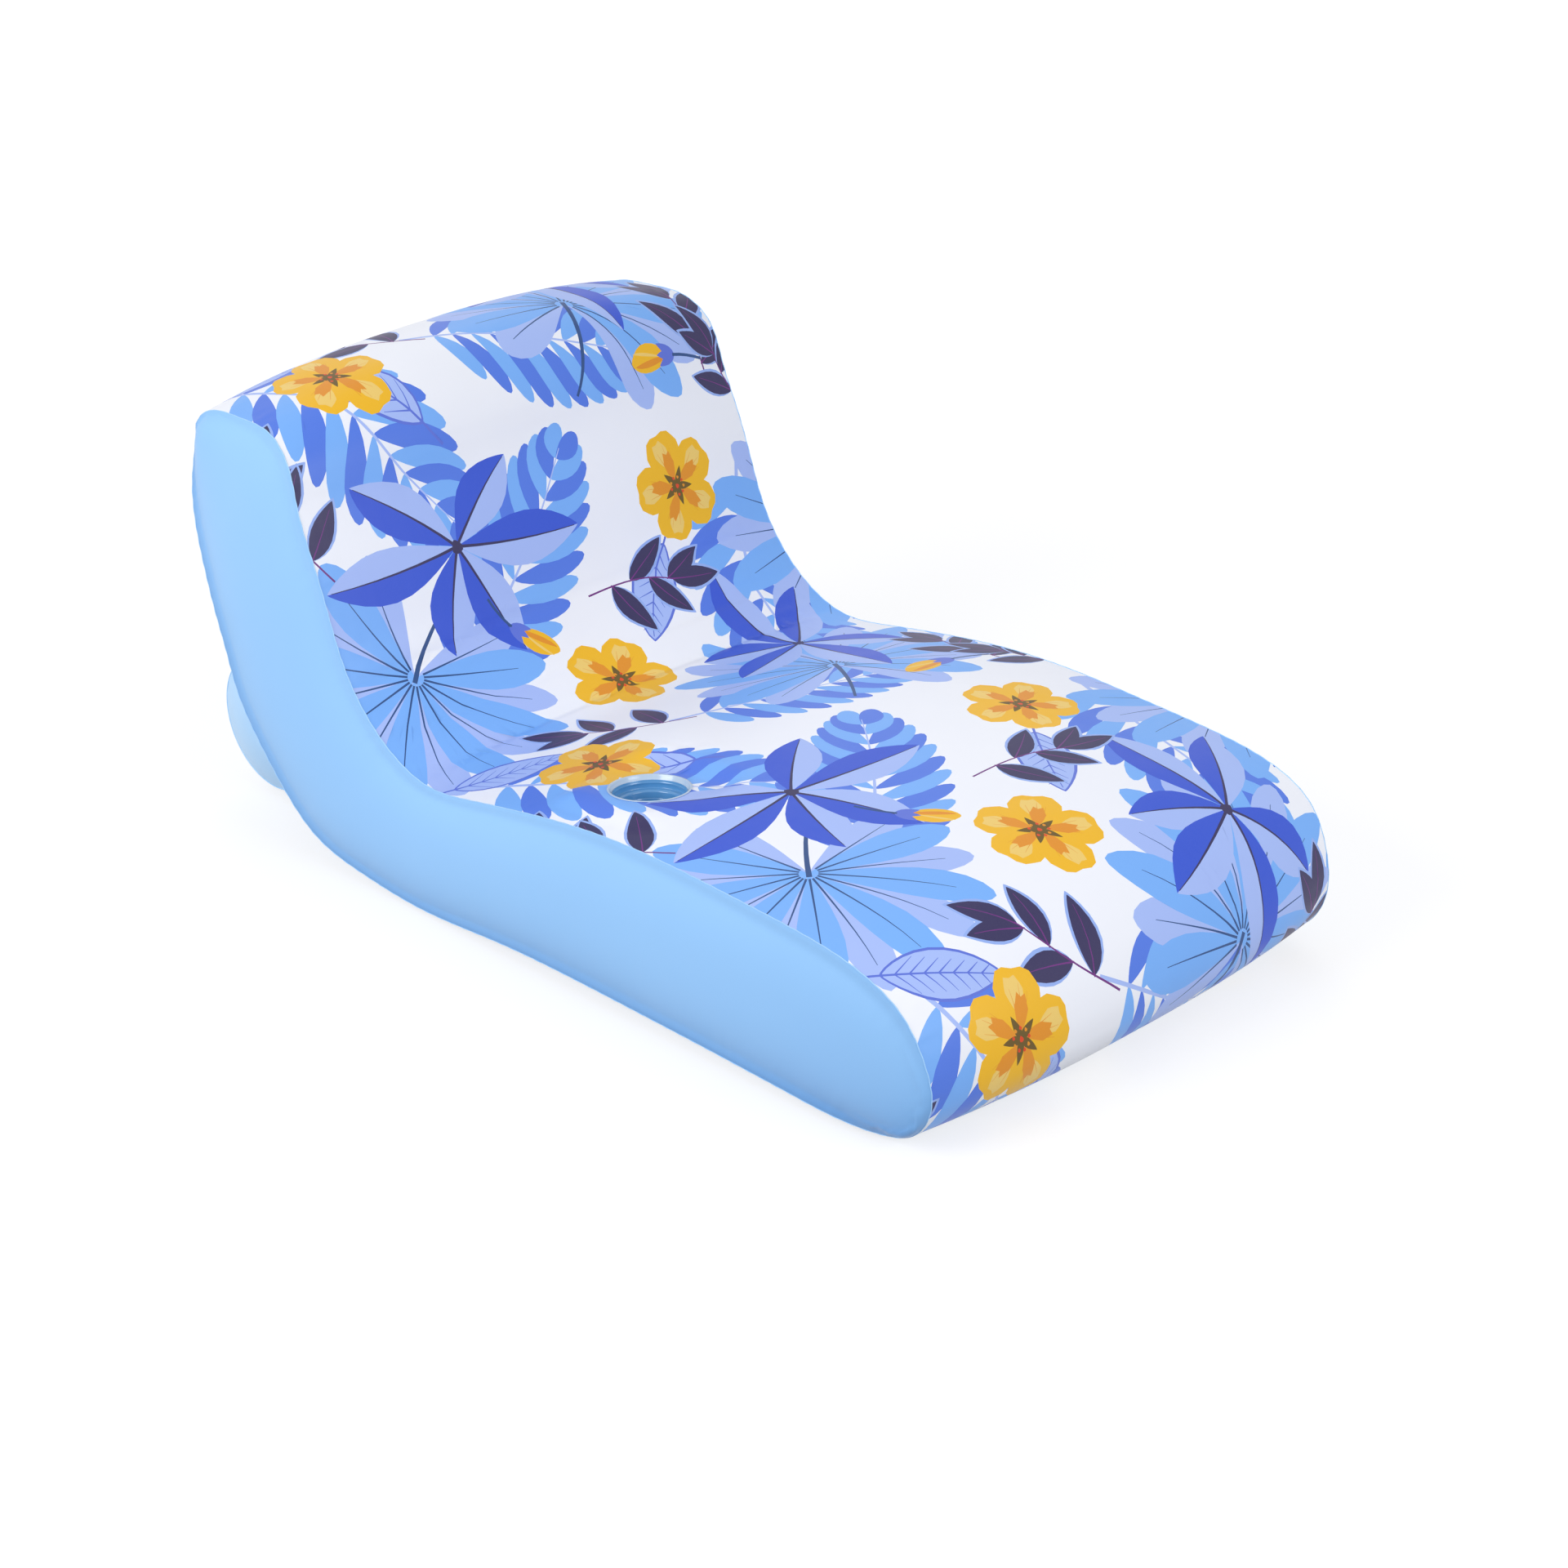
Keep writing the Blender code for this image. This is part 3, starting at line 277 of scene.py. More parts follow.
@dataclass
class Chamber:
    """The lounger's main air chamber, with every place on its skin."""

    sizes: SkinSizes
    cup_rib: float = 13.95
    cup_inset: float = 0.165
    cup_radius: float = 0.062
    cup_lean: float = 0.157
    cup_sink: float = 0.004
    bolster_flat: float = 0.082
    bolster_radius: float = 0.116
    bolster_half_length: float = 0.350
    bolster_stand_off: float = 0.0012
    bolster_seat_crown: float = 0.004
    bolster_seat_ribs: tuple[int, int] = (4, 12)
    valve_rise: float = 0.223
    valve_inset: float = 0.27
    valve_radius: float = 0.023
    valve_opening: float = 0.0128
    pad_margin: float = 0.006
    pucker_depth: float = 0.0011
    pucker_reach: float = 0.013
    pucker_wave: float = 0.027
    pucker_marks: tuple = ((0, 0.50), (4, 0.35), (7, 0.25), (10, 0.45), (13, 0.25), (17, 0.25), (20, 0.5),
                           (22, 0.6))
    start_fullness: float = 0.94
    air_pressure: float = 3.0
    cloth_spacing: float = 0.022
    floor_hold: float = 0.0005
    pad_hold: float = 0.01
    swell_cap: float = 0.006

    def __post_init__(self) -> None:
        """Set the outline, the crowns and the three flat pads."""
        sizes = self.sizes
        self.outline = Outline(sizes)
        count = self.outline.count
        marks = list(sizes.top_crowns) + [(count - rib, crown) for rib, crown in sizes.under_crowns]
        self.crowns = tuple(sorted(marks)) + ((count, sizes.top_crowns[0][1]),)
        self.fullness = 1.0
        self.swell: dict[Face, tuple[Array, Array, Array]] = {}
        self.bolster_station = self._bolster_station()
        rise = self.outline.length_at(self.bolster_station) + self.valve_rise
        half_flat = math.sqrt(self.bolster_radius ** 2 - self.bolster_flat ** 2)
        cup, valve = self.cup_radius + self.pad_margin, self.valve_radius + self.pad_margin
        self.cup_pad = self._pad(self.cup_rib, self.cup_inset - sizes.width / 2, cup, cup, self.cup_lean,
                                 self.cup_sink)
        self.bolster_pad = self._pad(self.bolster_station, 0.0, half_flat, self.bolster_half_length)
        self.valve_pad = self._pad(float(self.outline.station_at(rise)), sizes.width / 2 - self.valve_inset,
                                   valve, valve)
        self.pads = (self.cup_pad, self.bolster_pad, self.valve_pad)

    def _bolster_station(self) -> float:
        """Find where on the back the bolster reaches the overall length.

        Returns:
            The station.
        """
        stations = self.outline.count - np.linspace(*self.bolster_seat_ribs, 161)
        places, normals = self.outline.at(stations)
        lift = self.bolster_flat + self.bolster_seat_crown + self.bolster_stand_off
        back = (places + normals * lift)[:, 0] - self.bolster_radius
        return float(stations[np.argmin(np.abs(back + self.sizes.length / 2))])

    def _pad(self, station: float, side: float, along: float, across: float, lean: float = 0.0,
             sink: float = 0.0) -> Pad:
        """Make the pad at a place of the bare crowned skin.

        Args:
            station: Station of its middle.
            side: Distance of its middle across.
            along: Half its size along the outline.
            across: Half its size across.
            lean: How far it leans inwards, in radians.
            sink: How far it sinks into the skin.

        Returns:
            The pad.
        """
        step = self.sizes.gap
        knot = step / self.outline.chords[int(station) % self.outline.count]
        places = self.bare(station + np.array([0, knot, -knot, 0, 0]),
                           side + np.array([0, 0, 0, step, -step]))
        ahead, aside = unit(places[1] - places[2]), places[3] - places[4]
        flat = unit(np.cross(ahead, aside))
        normal = flat * math.cos(lean) - np.cross(ahead, flat) * math.sin(lean)
        axes = np.array([ahead, np.cross(normal, ahead), normal])
        return Pad(places[0] - normal * sink, axes, along, across)

    def drawn(self, station: Array) -> Array:
        """Return the share of the full width at stations."""
        rib = self.outline.last_rib - np.abs(station - self.outline.last_rib)
        return 1 - eased(rib, self.sizes.draw_in) / self.sizes.half_width

    def bare(self, station: Array, side: Array) -> Array:
        """Place the crowned wrap, before pads, puckers and swelling.

        Args:
            station: Stations round the outline.
            side: Distances across, up to half the width.

        Returns:
            The places in the object's frame.
        """
        point, normal = self.outline.at(np.asarray(station, dtype=float))
        share = np.minimum(np.abs(side) / self.sizes.half_width, 1.0)
        crown = eased(np.asarray(station) % self.outline.count, self.crowns) * self.fullness
        place = point + normal * (crown * (1 - share ** self.sizes.crown_power))[..., None]
        return np.stack([place[..., 0], side * self.drawn(station), place[..., 1]], axis=-1)

    def pucker(self, length: Array, distance: Array, rib: Array) -> Array:
        """Return how far the skin is drawn up or down by its welded seam.

        Args:
            length: Distance along the seam.
            distance: Distance from the seam.
            rib: Rib number, which sets how strongly the seam puckers there.

        Returns:
            The move along the skin's normal.
        """
        drift = 0.35 * np.sin(length * 31)
        wave = np.sin(2 * np.pi * (length / self.pucker_wave + drift + 0.2 * np.sin(length * 83)))
        strength = eased(rib, self.pucker_marks)
        share = np.maximum(distance, 0.0) / self.pucker_reach
        deep = self.pucker_depth * strength * wave * (0.6 + 0.4 * np.sin(length * 47))
        return deep * share * np.exp(1 - share)

    def wrap(self, station: Array, side: Array) -> Array:
        """Return places on the finished wrap.

        Args:
            station: Stations round the outline.
            side: Distances across, up to half the width.

        Returns:
            The places in the object's frame.
        """
        station, side = np.broadcast_arrays(np.asarray(station, float), np.asarray(side, float))
        points = self.bare(station, side)
        if self.swell:
            points = points + self._read_swell(Face.WRAP, station, side)
        rib = self.outline.last_rib - np.abs(station - self.outline.last_rib)
        lift = self.pucker(self.outline.length_at(station), self.sizes.half_width - np.abs(side), rib)
        normal = self.outline.at(station)[1]
        out = np.stack([normal[..., 0], np.zeros_like(lift), normal[..., 1]], axis=-1)
        points = points + out * lift[..., None]
        for pad in self.pads:
            past = np.clip(pad.beyond(points) / self.sizes.pad_blend, 0.0, 1.0)
            height = (points - pad.centre) @ pad.axes[2]
            fade = 1 - past * past * (3 - 2 * past)
            points = points - pad.axes[2] * (height * fade)[..., None]
        points[..., 2] = np.maximum(points[..., 2], 0.0)
        return points

    def flank(self, rib: Array, share: Array, sign: int) -> Array:
        """Return places on a finished side.

        Args:
            rib: Rib numbers from head to foot.
            share: -1 on the underside seam, 1 on the top seam.
            sign: -1 for the right side, 1 for the left.

        Returns:
            The places in the object's frame.
        """
        rib, share = np.broadcast_arrays(np.asarray(rib, float), np.asarray(share, float))
        top = self.outline.at(rib)[0]
        under = self.outline.at(self.outline.count - rib)[0]
        tall = np.linalg.norm(top - under, axis=-1)
        reach = np.minimum(tall / self.sizes.bulge_reach, 1.0)
        bulge = self.sizes.side_bulge * self.fullness * (1 - (1 - reach) ** 3)
        edge = self.sizes.half_width * self.drawn(rib) + self.sizes.gap / 2 + self.sizes.film
        out = edge + bulge * (1 - np.abs(share) ** self.sizes.bulge_power)
        out = out + self.pucker(self.outline.length_at(rib) + 0.01, (1 - np.abs(share)) / 2 * tall, rib)
        place = under + (top - under) * ((1 + share) / 2)[..., None]
        points = np.stack([place[..., 0], sign * out, place[..., 1]], axis=-1)
        if self.swell:
            points = points + self._read_swell(Face.LEFT if sign > 0 else Face.RIGHT, rib, share)
        points[..., 2] = np.maximum(points[..., 2], 0.0)
        return points

    def _read_swell(self, which: Face, a: Array, b: Array) -> Array:
        """Read the swelling that the cloth simulation left.

        Args:
            which: The face of the chamber.
            a: Stations on the wrap, or rib numbers on a side.
            b: Distances across the wrap, or shares from a side's lower seam to its upper.

        Returns:
            The moves in the object's frame.
        """
        rows, columns, grid = self.swell[which]
        i = np.clip(np.interp(a, rows, np.arange(len(rows))), 0, len(rows) - 1.0001)
        j = np.clip(np.interp(b, columns, np.arange(len(columns))), 0, len(columns) - 1.0001)
        i0, j0 = i.astype(int), j.astype(int)
        fi, fj = (i - i0)[..., None], (j - j0)[..., None]
        fi, fj = fi * fi * (3 - 2 * fi), fj * fj * (3 - 2 * fj)
        near = grid[i0, j0] * (1 - fj) + grid[i0, j0 + 1] * fj
        far = grid[i0 + 1, j0] * (1 - fj) + grid[i0 + 1, j0 + 1] * fj
        return near * (1 - fi) + far * fi

    def blow_up(self) -> None:
        """Let the skin swell as cloth under air pressure, held at its seams and pads."""
        self.fullness = self.start_fullness
        ribs = self.outline.rib_places(self.cloth_spacing)
        last = len(ribs) - 1
        stations = np.concatenate([ribs, self.outline.count - ribs[-2:0:-1]])
        sides = np.linspace(-1, 1, 41) * self.sizes.half_width
        shares = np.linspace(-1, 1, 13)
        wrap = self.wrap(stations[:, None], sides[None, :])
        wide = len(sides)
        ids = numbered(wrap)
        points, faces = [wrap.reshape(-1, 3)], quads(np.vstack([ids, ids[:1]]))
        flank_ids = []
        for sign in (-1, 1):
            column = 0 if sign < 0 else wide - 1
            own = np.zeros((last + 1, len(shares)), dtype=int)
            own[:, -1] = ids[:last + 1, column]
            own[:, 0] = ids[-np.arange(last + 1) % len(stations), column]
            own[0], own[last] = ids[0, column], ids[last, column]
            inner = self.flank(ribs[1:-1, None], shares[None, 1:-1], sign)
            own[1:-1, 1:-1] = numbered(inner, sum(len(part) for part in points))
            points.append(inner.reshape(-1, 3))
            faces = np.vstack([faces, quads(own) if sign > 0 else quads(own)[:, ::-1]])
            flank_ids.append(own)
        points = np.concatenate(points)
        held = set(ids[:, 0]) | set(ids[:, -1]) | set(np.flatnonzero(points[:, 2] < self.floor_hold))
        for pad in self.pads:
            held |= set(np.flatnonzero(pad.beyond(points) < self.pad_hold))
        moved = swell_as_cloth(points, faces, sorted(held), self.air_pressure, self.swell_cap)
        ends = np.concatenate([stations, [self.outline.count]])
        grid = moved[ids]
        self.swell = {Face.WRAP: (ends, sides, np.concatenate([grid, grid[:1]])),
                      Face.RIGHT: (ribs, shares, moved[flank_ids[0]]),
                      Face.LEFT: (ribs, shares, moved[flank_ids[1]])}


def numbered(grid: Array, start: int = 0) -> Array:
    """Return the point numbers of a grid of points, counted from a start."""
    return start + np.arange(grid.shape[0] * grid.shape[1]).reshape(grid.shape[:2])


def quads(ids: Array) -> Array:
    """Return the four-cornered faces between the rows of a grid of point numbers."""
    return np.stack([ids[:-1, :-1], ids[1:, :-1], ids[1:, 1:], ids[:-1, 1:]], axis=-1).reshape(-1, 4)


def triangles(ids: Array) -> Array:
    """Split a grid of point numbers into triangles, without the flat ones.

    Args:
        ids: The grid.

    Returns:
        The triangles, as three point numbers each.
    """
    four = quads(ids)
    both = np.vstack([four[:, [0, 1, 2]], four[:, [0, 2, 3]]])
    return both[(both[:, 0] != both[:, 1]) & (both[:, 1] != both[:, 2]) & (both[:, 2] != both[:, 0])]


def renumbered(faces: Array) -> tuple[Array, Array]:
    """Return the point numbers that triangles use, and the triangles counted by those."""
    used, corners = np.unique(faces, return_inverse=True)
    return used, corners.reshape(-1, 3)


def swell_as_cloth(points: Array, faces: Array, held: list[int], pressure: float, cap: float,
                   frames: int = 20) -> Array:
    """Blow a closed skin up as cloth.

    Args:
        points: Places of the skin at the start.
        faces: Its four-cornered faces, of which some have two corners in one place.
        held: Point numbers that stay where they are.
        pressure: Force of the air.
        cap: The furthest that a point may move.
        frames: Length of the simulation.

    Returns:
        The move of each point.
    """
    mesh = bpy.data.meshes.new("blown")
    corners = [list(dict.fromkeys(int(i) for i in face)) for face in faces]
    mesh.from_pydata([tuple(p) for p in points], [], [face for face in corners if len(face) > 2])
    blown = link_object("blown", mesh)
    group = blown.vertex_groups.new(name="held")
    group.add([int(i) for i in held], 1.0, "REPLACE")
    modifier = blown.modifiers.new("air", "CLOTH")
    cloth = modifier.settings
    cloth.quality = 6
    cloth.mass = 0.25
    cloth.tension_stiffness = 60
    cloth.compression_stiffness = 8
    cloth.shear_stiffness = 20
    cloth.bending_stiffness = 0.6
    cloth.use_pressure = True
    cloth.uniform_pressure_force = pressure
    cloth.vertex_group_mass = group.name
    cloth.effector_weights.gravity = 0
    modifier.collision_settings.use_collision = False
    modifier.point_cache.frame_start = 1
    modifier.point_cache.frame_end = frames
    scene = bpy.context.scene
    for number in range(1, frames + 1):
        scene.frame_set(number)
    shaped = blown.evaluated_get(bpy.context.evaluated_depsgraph_get()).data
    after = np.zeros(len(points) * 3)
    shaped.vertices.foreach_get("co", after)
    scene.frame_set(1)
    bpy.data.objects.remove(blown, do_unlink=True)
    bpy.data.meshes.remove(mesh)
    moved = after.reshape(-1, 3) - points
    far = np.linalg.norm(moved, axis=1, keepdims=True)
    log.info("cloth moved %.1f mm at most, %.1f mm on average", far.max() * 1000, far.mean() * 1000)
    return moved * np.tanh(far / cap) / np.maximum(far / cap, 1e-9)


@dataclass
class Film:
    """Outside of a thin sheet: its places, triangles, and where known its normals, inks and edge shares of
    painted shade.
    """

    points: Array
    faces: Array
    normals: Array | None = None
    inks: Array | None = None
    # Shares of painted shade at each point, written as the edge attribute.
    edges: Array | None = None

    def normals_of(self) -> Array:
        """Find the normals, from the faces round each point where none are given.

        Returns:
            The normal at each point.
        """
        if self.normals is not None:
            return self.normals
        corners = self.points[self.faces]
        flat = np.cross(corners[:, 1] - corners[:, 0], corners[:, 2] - corners[:, 0])
        total = np.zeros_like(self.points)
        for k in range(3):
            np.add.at(total, self.faces[:, k], flat)
        return unit(total)

    def closed(self, name: str, thickness: float) -> bpy.types.Object:
        """Make the sheet an object with an inside and a rim.

        Args:
            name: Name of the piece.
            thickness: Thickness of the sheet, inwards.

        Returns:
            The finished object, at the origin.
        """
        count = len(self.points)
        normals = self.normals_of()
        directed = np.vstack([self.faces[:, [0, 1]], self.faces[:, [1, 2]], self.faces[:, [2, 0]]])
        seen = {(int(a), int(b)) for a, b in directed}
        rim = [(b, a, a + count, b + count) for a, b in seen if (b, a) not in seen]
        rim.sort()
        everything = self.faces.tolist() + (self.faces[:, ::-1] + count).tolist() + rim
        data = bpy.data.meshes.new(name)
        data.from_pydata(np.vstack([self.points, self.points - normals * thickness]).tolist(), [], everything)
        data.shade_smooth()
        if self.inks is not None:
            layer = data.color_attributes.new("ink", "FLOAT_COLOR", "CORNER")
            tints = np.tile(np.array(Ink.GROUND.linear()), (len(data.loops), 1))
            tints[:len(self.faces) * 3] = np.repeat(self.inks, 3, axis=0)
            layer.data.foreach_set("color", tints.ravel())
        # The edge attribute is painted shade: it sets how far a material darkens the tint towards its rim
        # colour.
        if self.edges is not None:
            shade = data.attributes.new("edge", "FLOAT", "POINT")
            shade.data.foreach_set("value", np.tile(self.edges, 2))
        data.normals_split_custom_set_from_vertices(np.vstack([normals, -normals]).tolist())
        return link_object(name, data)


def link_object(name: str, data: bpy.types.ID) -> bpy.types.Object:
    """Put a new object in the scene.

    Args:
        name: Its name.
        data: Its mesh, camera or lamp.

    Returns:
        The object.
    """
    made = bpy.data.objects.new(name, data)
    bpy.context.scene.collection.objects.link(made)
    return made


@dataclass
class Print:
    """Leaf and blossom print, drawn flat in metres: u along the sheet from the head, v across it."""

    tile: float = 0.86
    shapes: list[Shape] = field(default_factory=list)

    def __post_init__(self) -> None:
        """Draw one tile of the print."""
        self._lay_out()

    def _put(self, points: Array, ink: Ink, place: tuple) -> None:
        """Add one outline of a motif, so that it goes round anticlockwise.

        Args:
            points: The outline.
            ink: Its colour.
            place: The motif's u, v, turn and size on the tile.
        """
        u, v, turn, size = place
        following = np.roll(points, -1, 0)
        if (points[:, 0] * following[:, 1] - points[:, 1] * following[:, 0]).sum() < 0:
            points = points[::-1]
        self.shapes.append((self.turned(points * size, turn, (u, v)), ink))

    @staticmethod
    def blade(length: float, width: float, belly: float = 0.42, bend: float = 0.0,
              half: Half = Half.WHOLE, blunt: float = 0.85, steps: int = 9) -> Array:
        """Return the outline of a pointed leaf from the origin along u.

        Args:
            length: Length of the leaf.
            width: Width at its belly.
            belly: Where its belly is, as a share of the length.
            bend: How far the tip is off to the side, as a share of the length.
            half: The whole leaf, or its half on one side of the vein.
            blunt: Lower for a rounder outline.
            steps: Points along one side.

        Returns:
            The outline, anticlockwise.
        """
        t = (1 - np.cos(np.linspace(0, np.pi, steps))) / 2
        reach = width / 2 * np.sin(np.pi * t ** (math.log(0.5) / math.log(belly))) ** blunt
        spine = bend * length * t * t
        low = np.stack([t * length, spine - reach], axis=1)
        high = np.stack([t * length, spine + reach], axis=1)
        middle = np.stack([t * length, spine], axis=1)
        first = middle if half is Half.HIGH else low
        second = middle if half is Half.LOW else high
        return np.vstack([first, second[-2:0:-1]])

    @staticmethod
    def line(points: Array, start: float, end: float) -> Array:
        """Return the outline of a stroke.

        Args:
            points: The stroke's middle line.
            start: Its width at the first point.
            end: Its width at the last point.

        Returns:
            The outline.
        """
        ahead = unit(np.gradient(points, axis=0))
        widths = np.linspace(start, end, len(points))[:, None]
        aside = np.stack([-ahead[:, 1], ahead[:, 0]], axis=1) * widths / 2
        return np.vstack([points - aside, (points + aside)[::-1]])

    @staticmethod
    def turned(points: Array, degrees: float, start: tuple = (0.0, 0.0)) -> Array:
        """Turn points about the origin and move them.

        Args:
            points: The points.
            degrees: The turn, anticlockwise.
            start: Where the origin goes.

        Returns:
            The points in their new places.
        """
        angle = math.radians(degrees)
        axes = np.array([[math.cos(angle), math.sin(angle)], [-math.sin(angle), math.cos(angle)]])
        return points @ axes + start

    @staticmethod
    def petal(length: float, width: float, ruffle: float = 0.03, steps: int = 22) -> Array:
        """Return the outline of a broad petal from the origin along u, with a ruffled edge.

        Args:
            length: Length of the petal.
            width: Width near its tip.
            ruffle: Depth of the ruffles, as a share.
            steps: Points round it.

        Returns:
            The outline.
        """
        turn = np.linspace(0, 2 * np.pi, steps, endpoint=False)
        reach = (1 - np.cos(turn)) / 2
        wave = 1 + ruffle * np.cos(7 * turn) * reach
        side = np.sin(turn) * (0.35 + 0.65 * reach)
        return np.stack([length * reach * wave, width * 0.62 * side * wave], axis=1)

    def fern(self, place: tuple, pairs: int = 12) -> None:
        """Draw a long broad frond of paired leaflets in two blues.

        Args:
            place: Its u, v, turn and size on the tile.
            pairs: Number of pairs.
        """
        bend = 0.12
        for k in range(pairs):
            t = 0.06 + 0.88 * k / (pairs - 1)
            length = 0.34 * math.sin(math.pi * (0.20 + 0.76 * t)) ** 0.7
            for side in (1, -1):
                ink = (Ink.SKY, Ink.MID)[(k + (side > 0)) % 2]
                angle = side * (72 - 40 * t) + math.degrees(math.atan(2 * bend * t))
                leaf = self.blade(length, 0.088, 0.60, side * -0.16, blunt=0.5, steps=11)
                self._put(self.turned(leaf, angle, (t, bend * t * t)), ink, place)
        t = np.linspace(-0.10, 0.98, 12)
        spine = np.stack([t, bend * t * t], axis=1)
        self._put(self.line(spine, 0.018, 0.004), Ink.PERIWINKLE, place)

    def fan(self, place: tuple, rays: int = 15) -> None:
        """Draw a round fan leaf of many rays with a dark vein in each.

        Args:
            place: Its u, v, turn and size on the tile.
            rays: Number of rays.
        """
        for k in list(range(0, rays, 2)) + list(range(1, rays, 2)):
            share = 2 * k / (rays - 1) - 1
            length = 0.58 - 0.14 * share ** 2 + 0.025 * (k % 2)
            ray = self.blade(length, 0.150, 0.66, 0.05 * share, blunt=0.55, steps=12)
            ink = Ink.SKY if k % 2 else Ink.PERIWINKLE
            self._put(self.turned(ray, share * 132), ink, place)
        for k in range(rays):
            share = 2 * k / (rays - 1) - 1
            t = np.linspace(0.03, 0.48 - 0.12 * share ** 2, 7)
            vein = np.stack([t, 0.08 * share * t * t], axis=1)
            self._put(self.turned(self.line(vein, 0.0075, 0.002), share * 132), Ink.VEIN, place)
        t = np.linspace(-0.36, 0.02, 7)
        self._put(self.line(np.stack([t, 0.30 * t * t], axis=1), 0.010, 0.018), Ink.VEIN, place)

    def blossom(self, place: tuple) -> None:
        """Draw a round blossom of five ruffled petals with a dark middle.

        Args:
            place: Its u, v, turn and size on the tile.
        """
        for k in range(5):
            turn = 72 * k + 8
            self._put(self.turned(self.petal(0.54, 0.50), turn), Ink.YELLOW, place)
            glow = self.petal(0.30, 0.20, 0.05, 14) + (0.17, -0.03)
            self._put(self.turned(glow, turn + 10), Ink.PALE, place)
            shade = self.petal(0.30, 0.15, 0.08, 14) + (0.04, 0.02)
            self._put(self.turned(shade, turn - 8), Ink.ORANGE, place)
            for degrees in (-15, -3, 12):
                vein = np.stack([np.linspace(0.12, 0.43 - 0.004 * abs(degrees), 4), np.zeros(4)], axis=1)
                self._put(self.turned(self.line(vein, 0.010, 0.002), turn + degrees), Ink.ORANGE, place)
        for k in range(5):
            self._put(self.turned(self.blade(0.20, 0.075, 0.35), 72 * k + 40), Ink.OLIVE, place)
        self._put(self.petal(0.11, 0.11, 0.0, 12) - (0.055, 0.0), Ink.OLIVE, place)
        for k in range(9):
            at = (0.085 * math.cos(0.698 * k), 0.085 * math.sin(0.698 * k))
            speck = self.petal(0.034, 0.034, 0.0, 8) + at - (0.017, 0.0)
            self._put(speck, (Ink.RED, Ink.ORANGE)[k % 2], place)
        self._put(self.petal(0.05, 0.05, 0.0, 8) - (0.025, 0.0), Ink.RED, place)

    def sprig(self, place: tuple, leaves: int = 4) -> None:
        """Draw a dark sprig with a pale edge round its leaves.

        Args:
            place: Its u, v, turn and size on the tile.
            leaves: Number of leaves below the one at the tip.
        """
        t = np.linspace(0, 0.72, 10)
        stem = np.stack([t, 0.16 * np.sin(2.6 * t)], axis=1)
        spots = []
        for k in range(leaves):
            at = 0.20 + 0.62 * k / leaves
            side = 1 if k % 2 else -1
            spots.append((side * (58 - 30 * at), (at, 0.16 * math.sin(2.6 * at)), 0.46 - 0.14 * at))
        spots.append((6, (0.70, 0.155), 0.40))
        for ink, grow in ((Ink.HALO, 0.024), (Ink.NAVY, 0.0)):
            for degrees, start, length in spots:
                leaf = self.blade(length + grow, length * 0.40 + grow * 1.6, 0.44, 0.08, steps=12)
                self._put(self.turned(leaf, degrees, start), ink, place)
        for degrees, start, length in spots:
            along = np.linspace(-0.01, length * 0.86, 5)
            vein = np.stack([along, 0.08 * along * along / length], axis=1)
            self._put(self.turned(self.line(vein, 0.010, 0.003), degrees, start), Ink.PLUM, place)
        self._put(self.line(stem, 0.014, 0.009), Ink.PLUM, place)

    def veined(self, place: tuple) -> None:
        """Draw a single pale leaf with its outline and veins in a darker blue.

        Args:
            place: Its u, v, turn and size on the tile.
        """
        self._put(self.blade(1.0, 0.46, 0.45, 0.08, steps=14), Ink.OUTLINE, place)
        self._put(self.turned(self.blade(0.955, 0.41, 0.45, 0.08, steps=14), 0, (0.02, 0.0)), Ink.PERIWINKLE,
                  place)
        t = np.linspace(-0.22, 0.94, 8)
        self._put(self.line(np.stack([t, 0.08 * t * np.abs(t)], axis=1), 0.024, 0.008), Ink.OUTLINE, place)
        for k in range(7):
            at = 0.12 + 0.115 * k
            for side in (1, -1):
                vein = self.line(np.stack([np.linspace(0, 0.24 - 0.02 * k, 3), np.zeros(3)], 1), 0.013, 0.004)
                self._put(self.turned(vein, side * 44, (at, 0.08 * at * at)), Ink.OUTLINE, place)

    def star(self, place: tuple, turns: tuple = (-152, -98, -40, 10, 62, 120)) -> None:
        """Draw a star of leaves, each half royal blue and half pale.

        Args:
            place: Its u, v, turn and size on the tile.
            turns: Turns of its leaves in degrees.
        """
        for k, degrees in enumerate(turns):
            length = 0.54 + 0.10 * math.sin(2.1 * k)
            bend = 0.10 * (-1) ** k
            for half, ink in ((1, Ink.ROYAL), (-1, Ink.PERIWINKLE)):
                side = Half(half * (-1) ** (k // 2))
                leaf = self.blade(length, 0.22, 0.56, bend, side, steps=14)
                self._put(self.turned(leaf, degrees, (0.0, 0.0)), ink, place)
            t = np.linspace(0, length * 0.97, 7)
            spine = np.stack([t, bend * t * t / length], axis=1)
            self._put(self.turned(self.line(spine, 0.013, 0.003), degrees), Ink.NAVY, place)
        self._put(self.petal(0.06, 0.06, 0.0, 10) - (0.03, 0), Ink.NAVY, place)

    def bud(self, place: tuple) -> None:
        """Draw a closed yellow bud on its blue cup.

        Args:
            place: Its u, v, turn and size on the tile.
        """
        self._put(self.blade(1.0, 0.44, 0.60, 0.12, blunt=0.6, steps=12), Ink.YELLOW, place)
        self._put(self.blade(0.92, 0.22, 0.60, 0.18, Half.HIGH, blunt=0.7), Ink.ORANGE, place)
        glow = self.blade(0.70, 0.10, 0.60, -0.05, Half.LOW, blunt=0.7) + (0.24, 0.02)
        self._put(glow, Ink.PALE, place)
        for degrees in (-24, 0, 24):
            self._put(self.turned(self.blade(0.42, 0.16, 0.4), degrees, (-0.04, 0.0)), Ink.OUTLINE, place)
        stem = np.stack([np.linspace(-0.7, 0, 5), 0.1 * np.linspace(-1, 0, 5) ** 2], axis=1)
        self._put(self.line(stem, 0.05, 0.05), Ink.VEIN, place)

